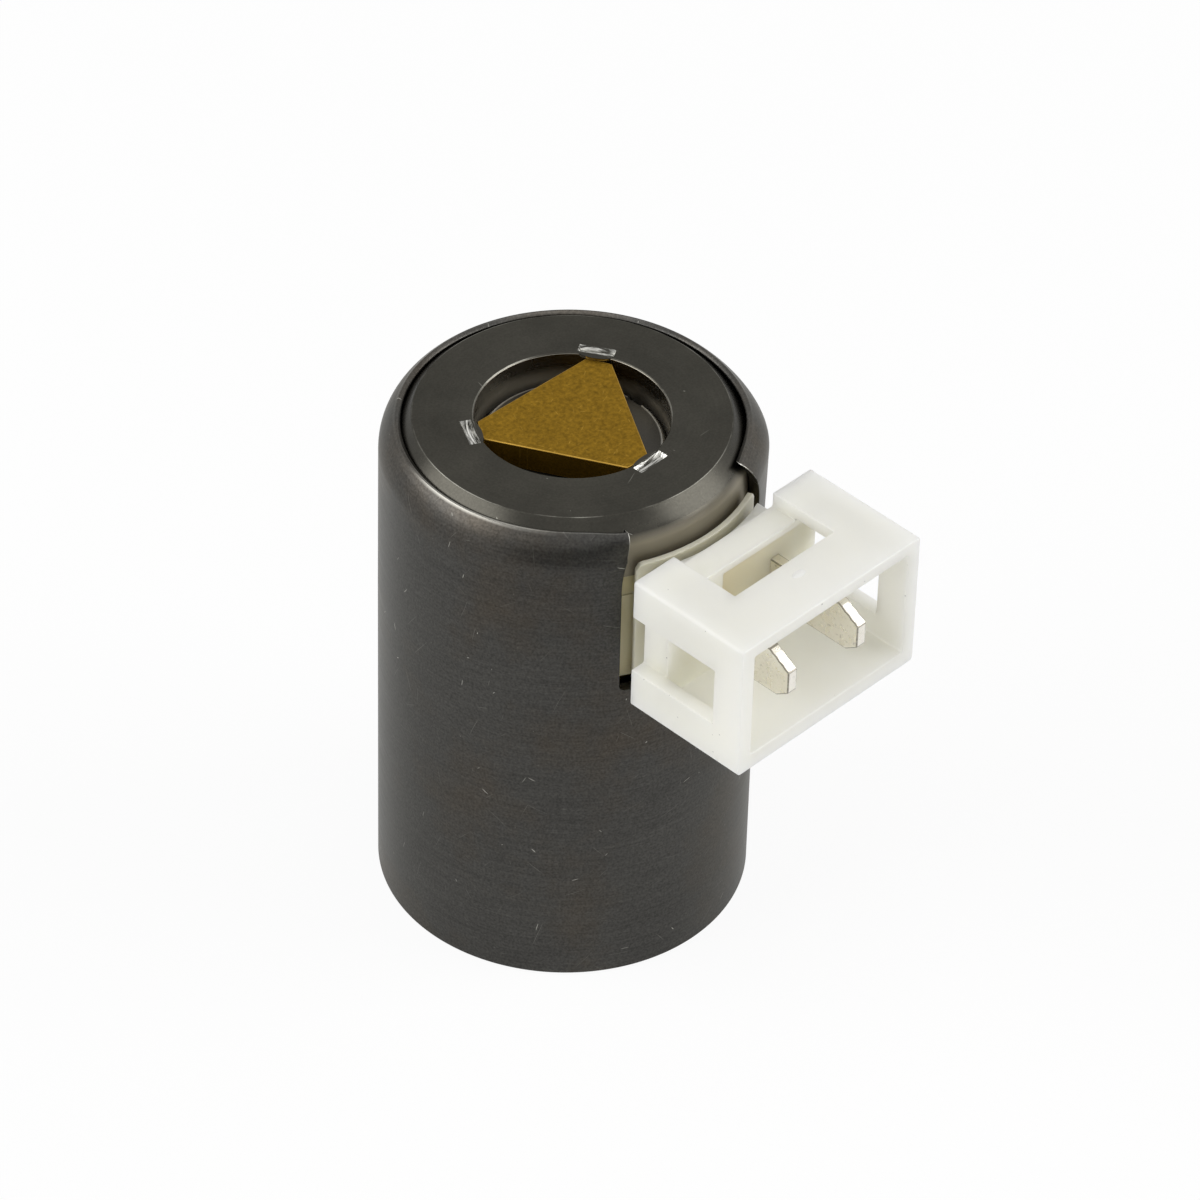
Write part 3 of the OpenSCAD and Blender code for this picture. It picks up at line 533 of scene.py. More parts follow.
def mouldedNylon(name, pale, deep, depth, shadeSpan=None):
    material, tree, shader = newMaterial(name)
    finish = nylonFinish
    place = addNode(tree, "TexCoord").outputs["Object"]
    flow = addNode(tree, "TexNoise", {"Vector": place, "Scale": perMm(finish["flow"]), "Detail": 3.0})
    skin = addNode(tree, "TexNoise", {"Vector": place, "Scale": perMm(finish["skin"]), "Detail": 3.0})
    specks = addNode(tree, "TexVoronoi", {"Vector": place, "Scale": perMm(finish["specks"])})
    luck = addNode(tree, "SeparateColor", {0: specks.outputs["Color"]})
    size = addNode(tree, "MapRange", {0: luck.outputs[0], 1: 1 - finish["speckShare"], 2: 1.0,
                                      3: 0.0, 4: finish["speckSize"]})
    speck = addNode(tree, "Math", {0: specks.outputs["Distance"], 1: size.outputs[0]}, operation="LESS_THAN")
    share = flow
    if shadeSpan:    # a painted shade instead: the two colours change from left to right, deep at the left and pale to the right, between two places in x
        axes = addNode(tree, "SeparateXYZ", {0: place})
        share = addNode(tree, "MapRange", {0: axes.outputs["X"], **between(shadeSpan), 3: 1.0, 4: 0.0})
    base = addNode(tree, "Mix", {0: share.outputs[0], 6: linear(pale), 7: linear(deep)}, data_type="RGBA")
    dirt = addNode(tree, "Math", {0: speck.outputs[0], 1: finish["speckStrength"]}, operation="MULTIPLY")
    colour = addNode(tree, "Mix", {0: dirt.outputs[0], 6: base.outputs[2], 7: linear("#8d8878")},
                     data_type="RGBA")
    gloss = addNode(tree, "MapRange", {0: skin.outputs[0], **noiseSpan, 3: 0.4, 4: 0.5})
    shader.inputs["IOR"].default_value = 1.53
    shader.inputs["Subsurface Weight"].default_value = 1.0
    shader.inputs["Subsurface Radius"].default_value = (1.0, 0.98, 0.92)
    shader.inputs["Subsurface Scale"].default_value = depth * mm
    finishSurface(tree, shader, colour.outputs[2], gloss.outputs[0], skin.outputs[0], 0.2, 0.006)
    return material


# Tin plate over stamped brass strip: pale warm silver, mottled and a little uneven
tinFinish = {"clouds": 0.9, "spots": 0.22}


def tinPlate():
    material, tree, shader = newMaterial("tinPlateStamped")
    finish = tinFinish
    place = addNode(tree, "TexCoord").outputs["Object"]
    clouds = addNode(tree, "TexNoise", {"Vector": place, "Scale": perMm(finish["clouds"]), "Detail": 4.0,
                                        "Roughness": 0.6})
    spots = addNode(tree, "TexNoise", {"Vector": place, "Scale": perMm(finish["spots"]), "Detail": 3.0,
                                       "Roughness": 0.6})
    base = addNode(tree, "Mix", {0: clouds.outputs[0], 6: linear("#e9e4d8"), 7: linear("#f8f5ee")},
                   data_type="RGBA")
    mottled = toned(tree, base.outputs[2], spots.outputs[0], 0.7, 1.0, {1: 0.26, 2: 0.42})
    gloss = addNode(tree, "MapRange", {0: clouds.outputs[0], **noiseSpan, 3: 0.22, 4: 0.38})
    shader.inputs["Metallic"].default_value = 1.0
    finishSurface(tree, shader, mottled, gloss.outputs[0], spots.outputs[0], 0.6, 0.03)
    return material


# Plain metal of an inner piece or an edge: two tones of one metal, with fine lines round the axis and maybe
# a painted highlight ring, a light band standing in for an edge's glint, given by its radius, height and
# width. The lines are drawn coarser than real ones, to show
innerFinish = {"lineLength": 4, "lineWidth": 0.2, "glossSpread": 0.12}


def innerMetal(name, dark, light, rough, glintRing=None):
    material, tree, shader = newMaterial(name)
    finish = innerFinish
    place = addNode(tree, "TexCoord").outputs["Object"]
    length, width = perMm(finish["lineLength"]), perMm(finish["lineWidth"])
    stretched = addNode(tree, "VectorMath", {0: place, 1: (length, length, width)}, operation="MULTIPLY")
    lines = addNode(tree, "TexNoise", {"Vector": stretched.outputs[0], "Scale": 1.0, "Detail": 3.0})
    colour = addNode(tree, "Mix", {0: lines.outputs[0], 6: linear(dark), 7: linear(light)}, data_type="RGBA")
    if glintRing:
        # painted highlight: a light ring standing in for an edge's glint
        worn = ringMask(tree, place, *glintRing)
        colour = addNode(tree, "Mix", {0: worn, 6: colour.outputs[2], 7: linear("#cfcdc6")}, data_type="RGBA")
    gloss = addNode(tree, "MapRange", {0: lines.outputs[0], **noiseSpan, 3: rough,
                                       4: rough + finish["glossSpread"]})
    shader.inputs["Metallic"].default_value = 1.0
    finishSurface(tree, shader, colour.outputs[2], gloss.outputs[0], lines.outputs[0], 0.2, 0.003)
    return material


# Polyester film wound on tight: amber, glossy, with faint wrap lines
filmFinish = {"foldLength": 8, "foldWidth": 1.2}


def wrapFilm():
    material, tree, shader = newMaterial("polyesterFilmWound")
    place = addNode(tree, "TexCoord").outputs["Object"]
    length, width = perMm(filmFinish["foldLength"]), perMm(filmFinish["foldWidth"])
    stretched = addNode(tree, "VectorMath", {0: place, 1: (length, length, width)}, operation="MULTIPLY")
    folds = addNode(tree, "TexNoise", {"Vector": stretched.outputs[0], "Scale": 1.0, "Detail": 3.0})
    colour = addNode(tree, "Mix", {0: folds.outputs[0], 6: linear("#b98a1e"), 7: linear("#d9b040")},
                     data_type="RGBA")
    gloss = addNode(tree, "MapRange", {0: folds.outputs[0], **noiseSpan, 3: 0.18, 4: 0.3})
    shader.inputs["IOR"].default_value = 1.64
    finishSurface(tree, shader, colour.outputs[2], gloss.outputs[0], folds.outputs[0], 0.3, 0.02)
    return material


canSteel = phosphatedSteel()
plateSteel = facedSteel()
stakeSteel = punchedSteel()
stopBrass = tumbledBrass()
shroudNylon = mouldedNylon("nylonNaturalMoulded", "#f7f5e7", "#f2efdd", 5.0)
# darker, yellower copies of the same nylon, as painted shade: the strip and keeper in the can's slot, and the
# back pocket
stripNylonPaintedShade = mouldedNylon("nylonThinStripPaintedShade", "#d6d3c4", "#c6c3b2", 0.6)
keeperNylonPaintedShade = mouldedNylon("nylonThinKeeperPaintedShade", "#ddd5b4", "#cdc49e", 0.6)
pocketNylonPaintedShade = mouldedNylon("nylonThinBackPaintedShade", "#f2f0e2", "#e2d8b4", 1.2, (-2.5, 5.0))
gateNylon = mouldedNylon("nylonGateTornMoulded", "#fbfaf0", "#f8f6ea", 5.0)
# the bobbin's darker yellow is painted shade, where it sits in the can's shadow
bobbinNylonPaintedShade = mouldedNylon("nylonBobbinPaintedShade", "#d8cfa8", "#cbbf90", 0.8)
bladeTin = tinPlate()
bladeEdge = innerMetal("tinPlateSheared", "#4a453b", "#c9c4b7", 0.4)    # dark where the die broke the plate
stopEdge = innerMetal("brassEdgeRubbed", "#4f3b0e", "#c8a04a", 0.34)
# the slot's sawn edges get a light ring near the lip's top, fading downward: a painted highlight
slotEdge = innerMetal("steelEdgeSawn", "#403f3c", "#4e4d49", 0.36, (11.7, 37.6, 2.4))
# the plunger's light ring on its top chamfer edge is a painted highlight
plungerSteel = innerMetal("mildSteelTurned", "#33312d", "#4a4843", 0.36, (5.9, 35.5, 0.2))
brightSteel = innerMetal("springSteelGround", "#8b8a86", "#b3b2ad", 0.28)
bronze = innerMetal("bronzeSintered", "#7b5427", "#96703a", 0.5)
shimBrass = innerMetal("brassRolled", "#a98436", "#c4a04e", 0.3)
copper = innerMetal("copperWireEnamelled", "#8e4a24", "#b46a36", 0.32)
solder = innerMetal("solderFlowed", "#a5a49f", "#cfcec9", 0.25)
film = wrapFilm()
print("materials made:", len(bpy.data.materials))


# Can: a drawn tube with a base, its mouth rolled in over the plate and a slot cut for the connector
can = {
    "wall": 0.85, "baseThickness": 1.5, "baseBreak": 0.1, "barrelHeight": 24.0, "barrelRows": 4,
    "drawIn": 0.03, "shoulderRadius": 3.2, "shoulderSteps": 14, "lipRadius": 11.35, "lipTop": 37.37,
    "lipThickness": 0.45, "lipSlope": 32,
    "lipGap": 48.09,    # radius plus height along the lip's underside
    "footHole": 4.02, "slotWidth": 12.5, "mouthWidth": 9.05, "mouthShift": 0.57, "closeDrop": 4.7,
    "bendSteps": 12, "slotFloor": 24.7, "slotCorner": 0.4, "edge": 0.08, "edgeAngle": 50, "lipRound": 0.13,
    "baseRound": 0.1, "segments": 288,
}
# Where the wall sprang out beside the slot, by angle from the connector, how far, and between which heights
spring = {
    "swellAngle": 50, "swellNear": 12, "swellFar": 25, "swell": 0.32, "swellRise": (25, 30),
    "swellEase": (35.5, 37.4), "easeShare": 0.5, "lipRise": (35.6, 37.3),
    "leftAngle": -27.5, "leftSpread": 9, "left": 0.49, "rightAngle": 22, "rightSpread": 6, "right": 0.1,
}


# One side of the slot's mouth, which the rolling bent inward, as an arc from low to high
def slotSide(side):
    lean = (can["slotWidth"] - can["mouthWidth"]) / 2 + side * can["mouthShift"]
    bend = (can["closeDrop"] ** 2 + lean ** 2) / (2 * lean)
    start = cadHigh.z / mm - can["closeDrop"]
    sweep, steps, half = math.asin(can["closeDrop"] / bend), can["bendSteps"], can["slotWidth"] / 2
    turns = [sweep * k / steps for k in range(steps + 1)]
    return [(side * (half - bend * (1 - math.cos(a))), start + bend * math.sin(a)) for a in turns]


# Goes smoothly from 0 to 1 between two values
def fade(value, low, high):
    share = min(max((value - low) / (high - low), 0), 1)
    return share * share * (3 - 2 * share)


# Goes smoothly from 0 up to 1 at the middle and down again
def hump(angle, middle, spread):
    return math.exp(-((angle - middle) / spread) ** 2)


def springOut(obj):
    for vertex in obj.data.vertices:
        x, y, z = vertex.co / mm
        angle = math.degrees(math.atan2(x, -y))
        spread = spring["swellNear"] if angle < spring["swellAngle"] else spring["swellFar"]
        out = spring["swell"] * hump(angle, spring["swellAngle"], spread) * fade(z, *spring["swellRise"])
        out *= 1 - spring["easeShare"] * fade(z, *spring["swellEase"])
        for side in ("left", "right"):
            flare = spring[side] * hump(angle, spring[side + "Angle"], spring[side + "Spread"])
            out += flare * fade(z, *spring["lipRise"])
        reach = math.hypot(x, y)
        vertex.co.x *= (reach + out) / reach
        vertex.co.y *= (reach + out) / reach


def makeCan():
    radius = barrelRadius
    bore = radius - can["wall"]
    drawn = radius - can["drawIn"]
    bend = can["shoulderRadius"]
    sweep = math.acos(1 - (drawn - can["lipRadius"]) / bend)
    shoulderZ = can["lipTop"] - bend * math.sin(sweep)
    rows, steps = can["barrelRows"], can["shoulderSteps"]
    outline = [(can["footHole"], 0), (radius - can["baseBreak"], 0), (radius, can["baseBreak"])]
    outline += [(radius, can["barrelHeight"] * k / rows) for k in range(1, rows + 1)]
    turns = [sweep * k / steps for k in range(steps + 1)]
    outline += [(drawn - bend + bend * math.cos(a), shoulderZ + bend * math.sin(a)) for a in turns]
    lip = len(outline) - 1
    slope = math.radians(can["lipSlope"])
    lipEnd = can["lipRadius"] - can["lipThickness"] * math.cos(slope)
    outline += [(lipEnd, can["lipTop"] - can["lipThickness"] * math.sin(slope)), (bore, can["lipGap"] - bore)]
    outline += [(bore, can["baseThickness"]), (can["footHole"], can["baseThickness"])]
    outline = filleted(outline, {1: can["baseRound"], 2: can["baseRound"],
                                 lip: can["lipRound"], lip + 1: can["lipRound"]})
    obj = lathe("canShell", outline, can["segments"])
    half = can["slotWidth"] / 2
    opening = [(-half, can["slotFloor"]), (half, can["slotFloor"])] + slotSide(1) + slotSide(-1)[::-1]
    opening = filleted(opening, {0: can["slotCorner"], 1: can["slotCorner"]})
    combine(obj, [prism("slotCutter", opening, 0, radius, upright(bore / 2))], "DIFFERENCE")
    dress(obj, canSteel)
    soften(obj, can["edge"], angle=can["edgeAngle"], edgeMaterial=slotEdge)
    springOut(obj)
    smooth(obj)
    install(obj, "can", "housing")


makeCan()
print("can made")


# Pole plate: a thick washer, chamfered for the lip and staked over the stop's corners
plate = {
    "chamfer": 1.28, "bore": 6.35, "boreBreak": 0.09, "edge": 0.04, "rimRound": 1.5, "segments": 240,
    "stakes": 3, "stakeTurn": 1.5, "stakeLength": 2.45, "stakeWidth": 0.72, "stakeDepth": 0.26,
    "stakeTaper": 0.16,
    "stakeLand": 0.12,     # steel left between the bore and a stake's dent
    "noseReach": 6.06, "noseBulge": 0.35, "noseLow": 37.48, "noseDrop": 0.04,
    "noseFoot": 0.05, "noseFootShare": 0.98,    # how far the nose's foot stands in the land, and how wide
    "noseSweep": 80, "noseStep": 16,
}


def makePlate():
    low, high = (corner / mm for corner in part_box("pole_plate"))
    radius, top, bore = high.x, high.z, plate["bore"]
    outline = [(bore, low.z), (radius, low.z), (radius, top - plate["chamfer"]),
               (radius - plate["chamfer"], top), (bore + plate["boreBreak"], top),
               (bore, top - plate["boreBreak"])]
    outline = filleted(outline, {2: plate["rimRound"], 3: plate["edge"], 4: plate["edge"], 5: plate["edge"]})
    obj = lathe("polePlate", outline, plate["segments"])
    dress(obj, plateSteel)
    half, inner = plate["stakeLength"] / 2, bore + plate["stakeLand"]
    outer = inner + plate["stakeWidth"]
    foot, footHalf = inner - plate["noseFoot"], half * plate["noseFootShare"]
    turns = [math.radians(a) for a in range(-plate["noseSweep"], plate["noseSweep"] + 1, plate["noseStep"])]
    bulge = half * plate["noseBulge"]
    front = [(plate["noseReach"] + bulge * (1 - math.cos(a)), half * math.sin(a)) for a in turns]
    nosePlan = [(foot, -footHalf)] + front + [(foot, footHalf)]
    depth, taper = plate["stakeDepth"], plate["stakeTaper"]
    dentEnds = []
    for z, t in ((top - depth, taper), (top + depth, -taper)):
        dentEnds.append([(inner + t, t - half, z), (outer - t, t - half, z),
                         (outer - t, half - t, z), (inner + t, half - t, z)])
    noses, dents = [], []
    for k in range(plate["stakes"]):
        turn = Matrix.Rotation(math.radians(plate["stakeTurn"] - 90 + 360 / plate["stakes"] * k), 4, "Z")
        noses.append(prism("nose", nosePlan, plate["noseLow"], top - plate["noseDrop"], turn))
        dents.append(loft("dent", dentEnds, turn))
        dress(noses[-1], plateSteel)
        dress(dents[-1], stakeSteel)
    combine(obj, noses, "UNION")
    combine(obj, dents, "DIFFERENCE")
    smooth(obj)
    install(obj, "pole_plate", "housing")


makePlate()
print("pole plate made")


# Brass stop: a round blank with three flats, its edges broken by tumbling
stop = {"flats": 3, "cornerRadius": 6.12, "flatOut": 3.82, "turn": -1.5, "edge": 0.08, "arcSteps": 10}


def makeStop():
    low, high = (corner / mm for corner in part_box("brass_stop"))
    half = math.degrees(math.acos(stop["flatOut"] / stop["cornerRadius"]))
    share = 360 / stop["flats"]
    outline = []
    for k in range(stop["flats"]):
        for i in range(stop["arcSteps"] + 1):
            a = math.radians(stop["turn"] + 90 + share * k + half + (share - 2 * half) * i / stop["arcSteps"])
            outline.append((stop["cornerRadius"] * math.cos(a), stop["cornerRadius"] * math.sin(a)))
    obj = prism("brassStop", outline, low.z, high.z)
    dress(obj, stopBrass)
    soften(obj, stop["edge"], edgeMaterial=stopEdge)
    smooth(obj)
    install(obj, "brass_stop", "housing")


makeStop()
print("brass stop made")


# Connector housing: a shroud with windows, a shelf, a pocket, and the saddle that stands in the can's slot
shroud = {
    "width": 16.2, "wall": 1.1, "topWall": 0.95, "floor": 1.2, "round": 0.25, "back": 13.5, "backWall": 2.1,
    "shelf": 35.6, "windowWidth": 9.0, "bar": 4.2, "rail": 2.95, "post": 2.4, "landWidth": 2.4,
    "pocketDepth": 0.45, "pocketLip": 0.6, "low": 26.4, "top": 36.65, "front": 23.0, "edge": 0.09,
    "cutPast": 1.0, "cutLap": 0.2, "cutIn": 12.0,    # cutters pass the outside, lap each other and reach in
}
saddle = {
    "low": 25.1, "neckWidth": 8.6, "neckTop": 31.9, "neckLap": 0.3, "neckIn": 10.15,
    "hugWidth": 9.6, "hugRadius": 12.9, "hugTop": 34.8, "hugLap": 0.5, "hugIn": 11.65,
    "stripWidth": 10.8, "stripIn": 12.0, "stripOut": 12.4, "stripTop": 34.95, "stripCorner": 0.5,
    "keeperWidth": 14.4, "keeperIn": 10.95, "keeperOut": 11.55, "keeperCorner": 0.1, "columns": 40,
    "cutterPast": 2.0, "cutterSegments": 256,
}
gate = {
    "x": -0.08, "out": 20.13, "length": 1.1, "width": 0.6, "height": 0.06, "segments": 32,
    # shares of its reach and of its height
    "profile": ((0, -0.2), (1, -0.2), (1, 0.0), (0.9, 0.5), (0.7, 0.9), (0, 1.0)),
}


# A strip of the can's curve, facing the connector, with round upper corners
def curvedStrip(name, width, inner, outer, top, corner):
    half, low = math.asin(width / 2 / outer), saddle["low"]
    columns = []
    for k in range(saddle["columns"] + 1):
        a = -half + 2 * half * k / saddle["columns"]
        toEnd = (half - abs(a)) * outer
        drop = corner - math.sqrt(max(corner * corner - (corner - toEnd) ** 2, 0)) if toEnd < corner else 0
        section = ((inner, low), (outer, low), (outer, top - drop), (inner, top - drop))
        columns.append([(r * math.sin(a), -r * math.cos(a), z) for r, z in section])
    return loft(name, columns)


def roundCutter(name, radius):
    low, high = shroud["low"] - saddle["cutterPast"], shroud["top"] + saddle["cutterPast"]
    return lathe(name, [(0, low), (radius, low), (radius, high), (0, high)], saddle["cutterSegments"])


def makeShroud():
    half, window = shroud["width"] / 2, shroud["windowWidth"] / 2
    inner, wallFront = half - shroud["wall"], shroud["back"] + shroud["backWall"]
    low, top, front, back = shroud["low"], shroud["top"], shroud["front"], shroud["back"]
    floor, past, lap, cutIn = low + shroud["floor"], shroud["cutPast"], shroud["cutLap"], shroud["cutIn"]
    outline = roundRect(-half, half, low, top, shroud["round"])
    obj = prism("connectorHousing", outline, 0, front - back, upright(back))
    dress(obj, shroudNylon)
    ears = block("hug", (-saddle["hugWidth"] / 2, -back - saddle["hugLap"], low),
                 (saddle["hugWidth"] / 2, -saddle["hugIn"], saddle["hugTop"]))
    dress(ears, shroudNylon)
    combine(obj, [ears], "UNION")
    cavity = block("cavity", (-inner, -front - past, floor), (inner, -wallFront, top - shroud["topWall"]))
    topWindow = block("topWindow", (-window, -front + shroud["bar"], floor), (window, -wallFront, top + past))
    shelfCut = block("shelfCut", (-window, -wallFront - lap, shroud["shelf"]), (window, -cutIn, top + past))
    pocket = block("pocket", (-window + shroud["landWidth"], -wallFront - lap, floor),
                   (inner, -wallFront + shroud["pocketDepth"], shroud["shelf"] - shroud["pocketLip"]))
    # the pocket's cut faces take the darker nylon copy: painted shade in the recess, deepest at its left
    dress(pocket, pocketNylonPaintedShade)
    cuts = [cavity, topWindow, shelfCut, pocket]
    for side in (-1, 1):
        edges = sorted((side * inner, side * (half + past)))
        cuts.append(block("sideWindow", (edges[0], -front + shroud["post"], low + shroud["rail"]),
                          (edges[1], -cutIn, top - shroud["rail"])))
    cuts.append(roundCutter("hugCutter", saddle["hugRadius"]))
    combine(obj, cuts, "DIFFERENCE")
    neck = block("neck", (-saddle["neckWidth"] / 2, -back - saddle["neckLap"], saddle["low"]),
                 (saddle["neckWidth"] / 2, -saddle["neckIn"], saddle["neckTop"]))
    neckEnd = (saddle["keeperIn"] + saddle["keeperOut"]) / 2    # the neck ends inside the keeper
    combine(neck, [roundCutter("neckCut", neckEnd)], "DIFFERENCE")
    combine(obj, [neck], "UNION")
    strip = curvedStrip("strip", saddle["stripWidth"], saddle["stripIn"], saddle["stripOut"],
                        saddle["stripTop"], saddle["stripCorner"])
    keeper = curvedStrip("keeper", saddle["keeperWidth"], saddle["keeperIn"], saddle["keeperOut"],
                         saddle["neckTop"], saddle["keeperCorner"])
    # the strip and keeper take the darker nylon copies: painted shade where they stand in the can's slot
    dress(strip, stripNylonPaintedShade)
    dress(keeper, keeperNylonPaintedShade)
    combine(obj, [strip, keeper], "UNION")
    soften(obj, shroud["edge"], mergeFlats=True)
    mark = lathe("gateMark", gate["profile"], gate["segments"])
    mark.data.transform(Matrix.Translation((gate["x"] * mm, -gate["out"] * mm, top * mm))
                        @ Matrix.Diagonal((gate["length"] / 2, gate["width"] / 2, gate["height"], 1)))
    dress(mark, gateNylon)
    combine(obj, [mark], "UNION")
    smooth(obj)
    install(obj, "connector_housing", "housing")


makeShroud()
print("connector made")


# Blades: stamped strip with a long bevel above and a short one below
blade = {
    "thickness": 0.8, "pitch": 6.35, "bevelLength": 1.7, "bevelDrop": 1.0, "nipLength": 0.95, "nipRise": 0.65,
    "tailWidth": 1.4, "shoulder": 13.47, "edge": 0.08,
    "ripple": (0.03, -0.02, 0.035, -0.03, 0.02),    # how far the cropping die tore the bevel
}


def makeBlade(node, side):
    low, high = (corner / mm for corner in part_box(node))
    tip, back, tail = -low.y, -high.y, low.z + blade["tailWidth"]
    bevelStart = Vector((tip, high.z - blade["bevelDrop"]))
    bevelEnd = Vector((tip - blade["bevelLength"], high.z))
    outward = Vector((blade["bevelDrop"], blade["bevelLength"])).normalized()
    count = len(blade["ripple"]) + 1
    torn = [tuple(bevelStart.lerp(bevelEnd, (k + 1) / count) + outward * side * height)
            for k, height in enumerate(blade["ripple"])]
    outline = [(back, low.z), (tip - blade["nipLength"], low.z), (tip, low.z + blade["nipRise"])]
    outline += [tuple(bevelStart)] + torn + [tuple(bevelEnd)]
    outline += [(blade["shoulder"], high.z), (blade["shoulder"], tail), (back, tail)]
    stand = Matrix(((0, 0, 1, side * blade["pitch"] / 2 * mm), (-1, 0, 0, 0), (0, 1, 0, 0), (0, 0, 0, 1)))
    half = blade["thickness"] / 2
    obj = prism(node.replace("terminal_", "blade_"), outline, -half, half, stand)
    dress(obj, bladeTin)
    soften(obj, blade["edge"], edgeMaterial=bladeEdge)
    smooth(obj)
    install(obj, node, "housing")


makeBlade("terminal_left", -1)
makeBlade("terminal_right", 1)
print("blades made")


# Return spring: wound wire with closed end turns; the real one is pressed shorter as the plunger goes down
coil = {"radius": 2.45, "wire": 0.5, "turns": 9, "steps": 32, "sides": 12, "stroke": 5.0, "smoothAngle": 50}


def makeSpring():
    low, high = (corner.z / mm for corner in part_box("return_spring"))
    turns, wire = coil["turns"], coil["wire"]
    rise = high - low - wire
    endShare = wire / rise
    around = [math.tau * i / coil["sides"] for i in range(coil["sides"])]
    rings = []
    for k in range(turns * coil["steps"] + 1):
        t = k / coil["steps"]
        if t < 1:
            climb = endShare * t
        elif t > turns - 1:
            climb = 1 - endShare * (turns - t)
        else:
            climb = endShare + (1 - 2 * endShare) * (t - 1) / (turns - 2)
        out = Vector((math.cos(math.tau * t), math.sin(math.tau * t), 0))
        centre = out * coil["radius"] + Vector((0, 0, low + wire / 2 + rise * climb))
        rings.append([centre + out * (wire / 2 * math.cos(a)) + Vector((0, 0, wire / 2 * math.sin(a)))
                      for a in around])
    obj = loft("returnSpring", rings)
    smooth(obj, coil["smoothAngle"])
    dress(obj, brightSteel)
    install(obj, "return_spring", "housing")
    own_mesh(obj)


makeSpring()
print("spring made")


# Pieces that keep their CAD shape
finishes = {
    "plunger": plungerSteel, "push_pin": brightSteel, "fixed_core": plungerSteel,
    "pin_bush": bronze, "residual_washer": shimBrass, "guide_tube": shimBrass, "bobbin": bobbinNylonPaintedShade,
    "winding": copper, "coil_tape": film, "wave_washer": brightSteel, "lead_start": copper,
    "lead_finish": copper, "solder_joints": solder,
}
for name, material in finishes.items():
    dress(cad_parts[name], material)
print("inner pieces dressed:", len(finishes))


# Floor and white room: the floor's half width in metres and its drop below the base in millimetres, the light
# from all round, and the shares of the shadow and of the floor's shade that the eye and the metal see
room = {
    "floorHalf": 3.0, "floorDrop": 0.02, "fill": 0.21, "shadowShare": 0.08, "mirrorShare": 0.42, "rough": 0.9,
}


def makeFloor():
    bm = bmesh.new()
    half, height = room["floorHalf"], -room["floorDrop"] * mm
    corners = ((-half, -half), (half, -half), (half, half), (-half, half))
    bm.faces.new([bm.verts.new((x, y, height)) for x, y in corners])
    obj = makeObject("floor", bm)
    material, tree, shader = newMaterial("backdropPaperRolled")    # plain white paper, with a faint shadow
    shader.inputs["Base Color"].default_value = linear("#ffffff")
    shader.inputs["Roughness"].default_value = room["rough"]
    rays = addNode(tree, "LightPath")
    seen = addNode(tree, "Math", {0: rays.outputs["Is Camera Ray"], 1: rays.outputs["Is Transmission Ray"]},
                   operation="MAXIMUM")
    shown = addNode(tree, "Math", {0: seen.outputs[0], 1: 1 - room["shadowShare"]}, operation="MULTIPLY")
    share = addNode(tree, "Math", {0: rays.outputs["Is Glossy Ray"], 1: 1 - room["mirrorShare"],
                                   2: shown.outputs[0]}, operation="MULTIPLY_ADD")
    white = addNode(tree, "Emission", {"Color": (1, 1, 1, 1), "Strength": 1.0})
    mixed = addNode(tree, "MixShader", {0: share.outputs[0], 1: shader.outputs[0], 2: white.outputs[0]})
    tree.links.new(mixed.outputs[0], tree.nodes["Material Output"].inputs["Surface"])
    dress(obj, material)


def makeWorld():
    world = bpy.data.worlds.new("whiteRoom")
    scene.world = world
    world.use_nodes = True
    tree = world.node_tree
    rays = addNode(tree, "LightPath")
    seen = addNode(tree, "Math", {0: rays.outputs["Is Camera Ray"], 1: rays.outputs["Is Glossy Ray"]},
                   operation="MAXIMUM")
    shown = addNode(tree, "Math", {0: seen.outputs[0], 1: rays.outputs["Is Transmission Ray"]},
                    operation="MAXIMUM")
    strength = addNode(tree, "MapRange", {0: shown.outputs[0], 3: room["fill"], 4: 1.0})
    background = tree.nodes["Background"]
    background.inputs["Color"].default_value = (1, 1, 1, 1)
    tree.links.new(strength.outputs[0], background.inputs["Strength"])


# Softboxes, by angle round the part from the camera's side and by rise, in degrees, metres and watts
softboxes = {
    "softboxLeft": {"turn": -78, "rise": 34, "distance": 0.6, "width": 0.5, "height": 0.38, "power": 2.25},
    "softboxRight": {"turn": 88, "rise": 29, "distance": 0.6, "width": 0.36, "height": 0.4, "power": 1.9},
    "softboxTop": {"turn": 0, "rise": 89, "distance": 0.6, "width": 0.4, "height": 0.4, "power": 0.58},
}
lampAim = Vector((0, 0, 0.02))    # the middle of the part's height, about
# Grey card standing in front of the part, seen in the metal only, in metres
card = {"distance": 0.075, "half": 0.042, "height": 0.066, "rough": 0.9}
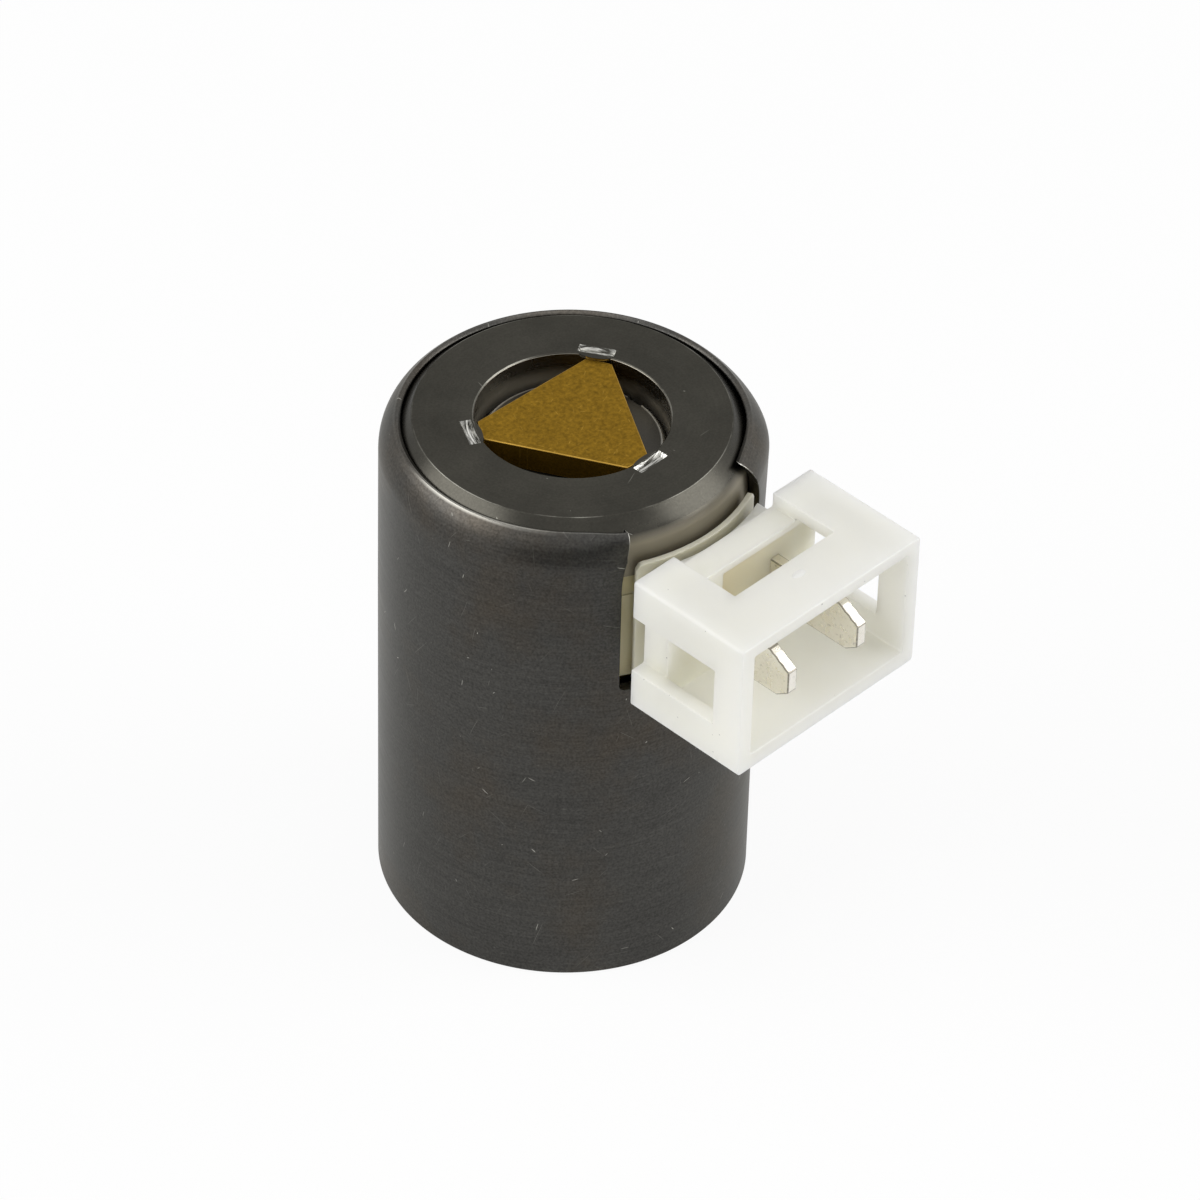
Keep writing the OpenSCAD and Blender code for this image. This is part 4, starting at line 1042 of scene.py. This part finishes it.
# Camera, in degrees from the connector's side: distance in millimetres, focal length in pixels of the frame
view = {
    "turn": -46.0, "rise": 42.749, "distance": 440.756, "focal": 6480.77, "imageSide": 1200, "sensor": 36.0,
    "aimYaw": -0.28244, "aimPitch": -2.18060, "aimRoll": 1.35189, "clipNear": 0.01, "clipFar": 20,
}


def makeLights():
    for name, box in softboxes.items():
        lamp = bpy.data.lights.new(name, "AREA")
        lamp.shape = "RECTANGLE"
        lamp.size = box["width"]
        lamp.size_y = box["height"]
        lamp.energy = box["power"]
        obj = bpy.data.objects.new(name, lamp)
        scene.collection.objects.link(obj)
        out = fromAngles(view["turn"] + box["turn"], box["rise"])
        obj.location = lampAim + out * box["distance"]
        obj.rotation_euler = (-out).to_track_quat("-Z", "Y").to_euler()


def makeCard():
    out = fromAngles(view["turn"], 0)
    side = Vector((-out.y, out.x, 0)) * card["half"]
    foot = out * card["distance"]
    head = foot + Vector((0, 0, card["height"]))
    bm = bmesh.new()
    bm.faces.new([bm.verts.new(corner) for corner in (foot - side, foot + side, head + side, head - side)])
    obj = makeObject("card", bm)
    material, _, shader = newMaterial("greyCardPressed")    # even light grey, with no gloss
    shader.inputs["Base Color"].default_value = linear("#c2c2c0")
    shader.inputs["Roughness"].default_value = card["rough"]
    dress(obj, material)
    obj.visible_camera = False
    obj.visible_diffuse = False
    obj.visible_shadow = False


def makeCamera():
    away = fromAngles(view["turn"], view["rise"])
    forward = -away
    right = forward.cross(Vector((0, 0, 1))).normalized()
    down = forward.cross(right)
    look = Matrix((right, down, forward))
    for angle, axis in ((view["aimYaw"], "Y"), (view["aimPitch"], "X"), (view["aimRoll"], "Z")):
        look = Matrix.Rotation(math.radians(angle), 3, axis) @ look
    axes = Matrix((look[0], -look[1], -look[2])).transposed()
    data = bpy.data.cameras.new("camera")
    data.sensor_width = view["sensor"]
    data.lens = view["focal"] * view["sensor"] / view["imageSide"]
    data.clip_start = view["clipNear"]
    data.clip_end = view["clipFar"]
    camera = bpy.data.objects.new("camera", data)
    scene.collection.objects.link(camera)
    camera.matrix_world = Matrix.Translation(away * view["distance"] * mm) @ axes.to_4x4()
    scene.camera = camera


makeFloor()
makeWorld()
makeLights()
makeCard()
makeCamera()
print("stage, lights and camera set")
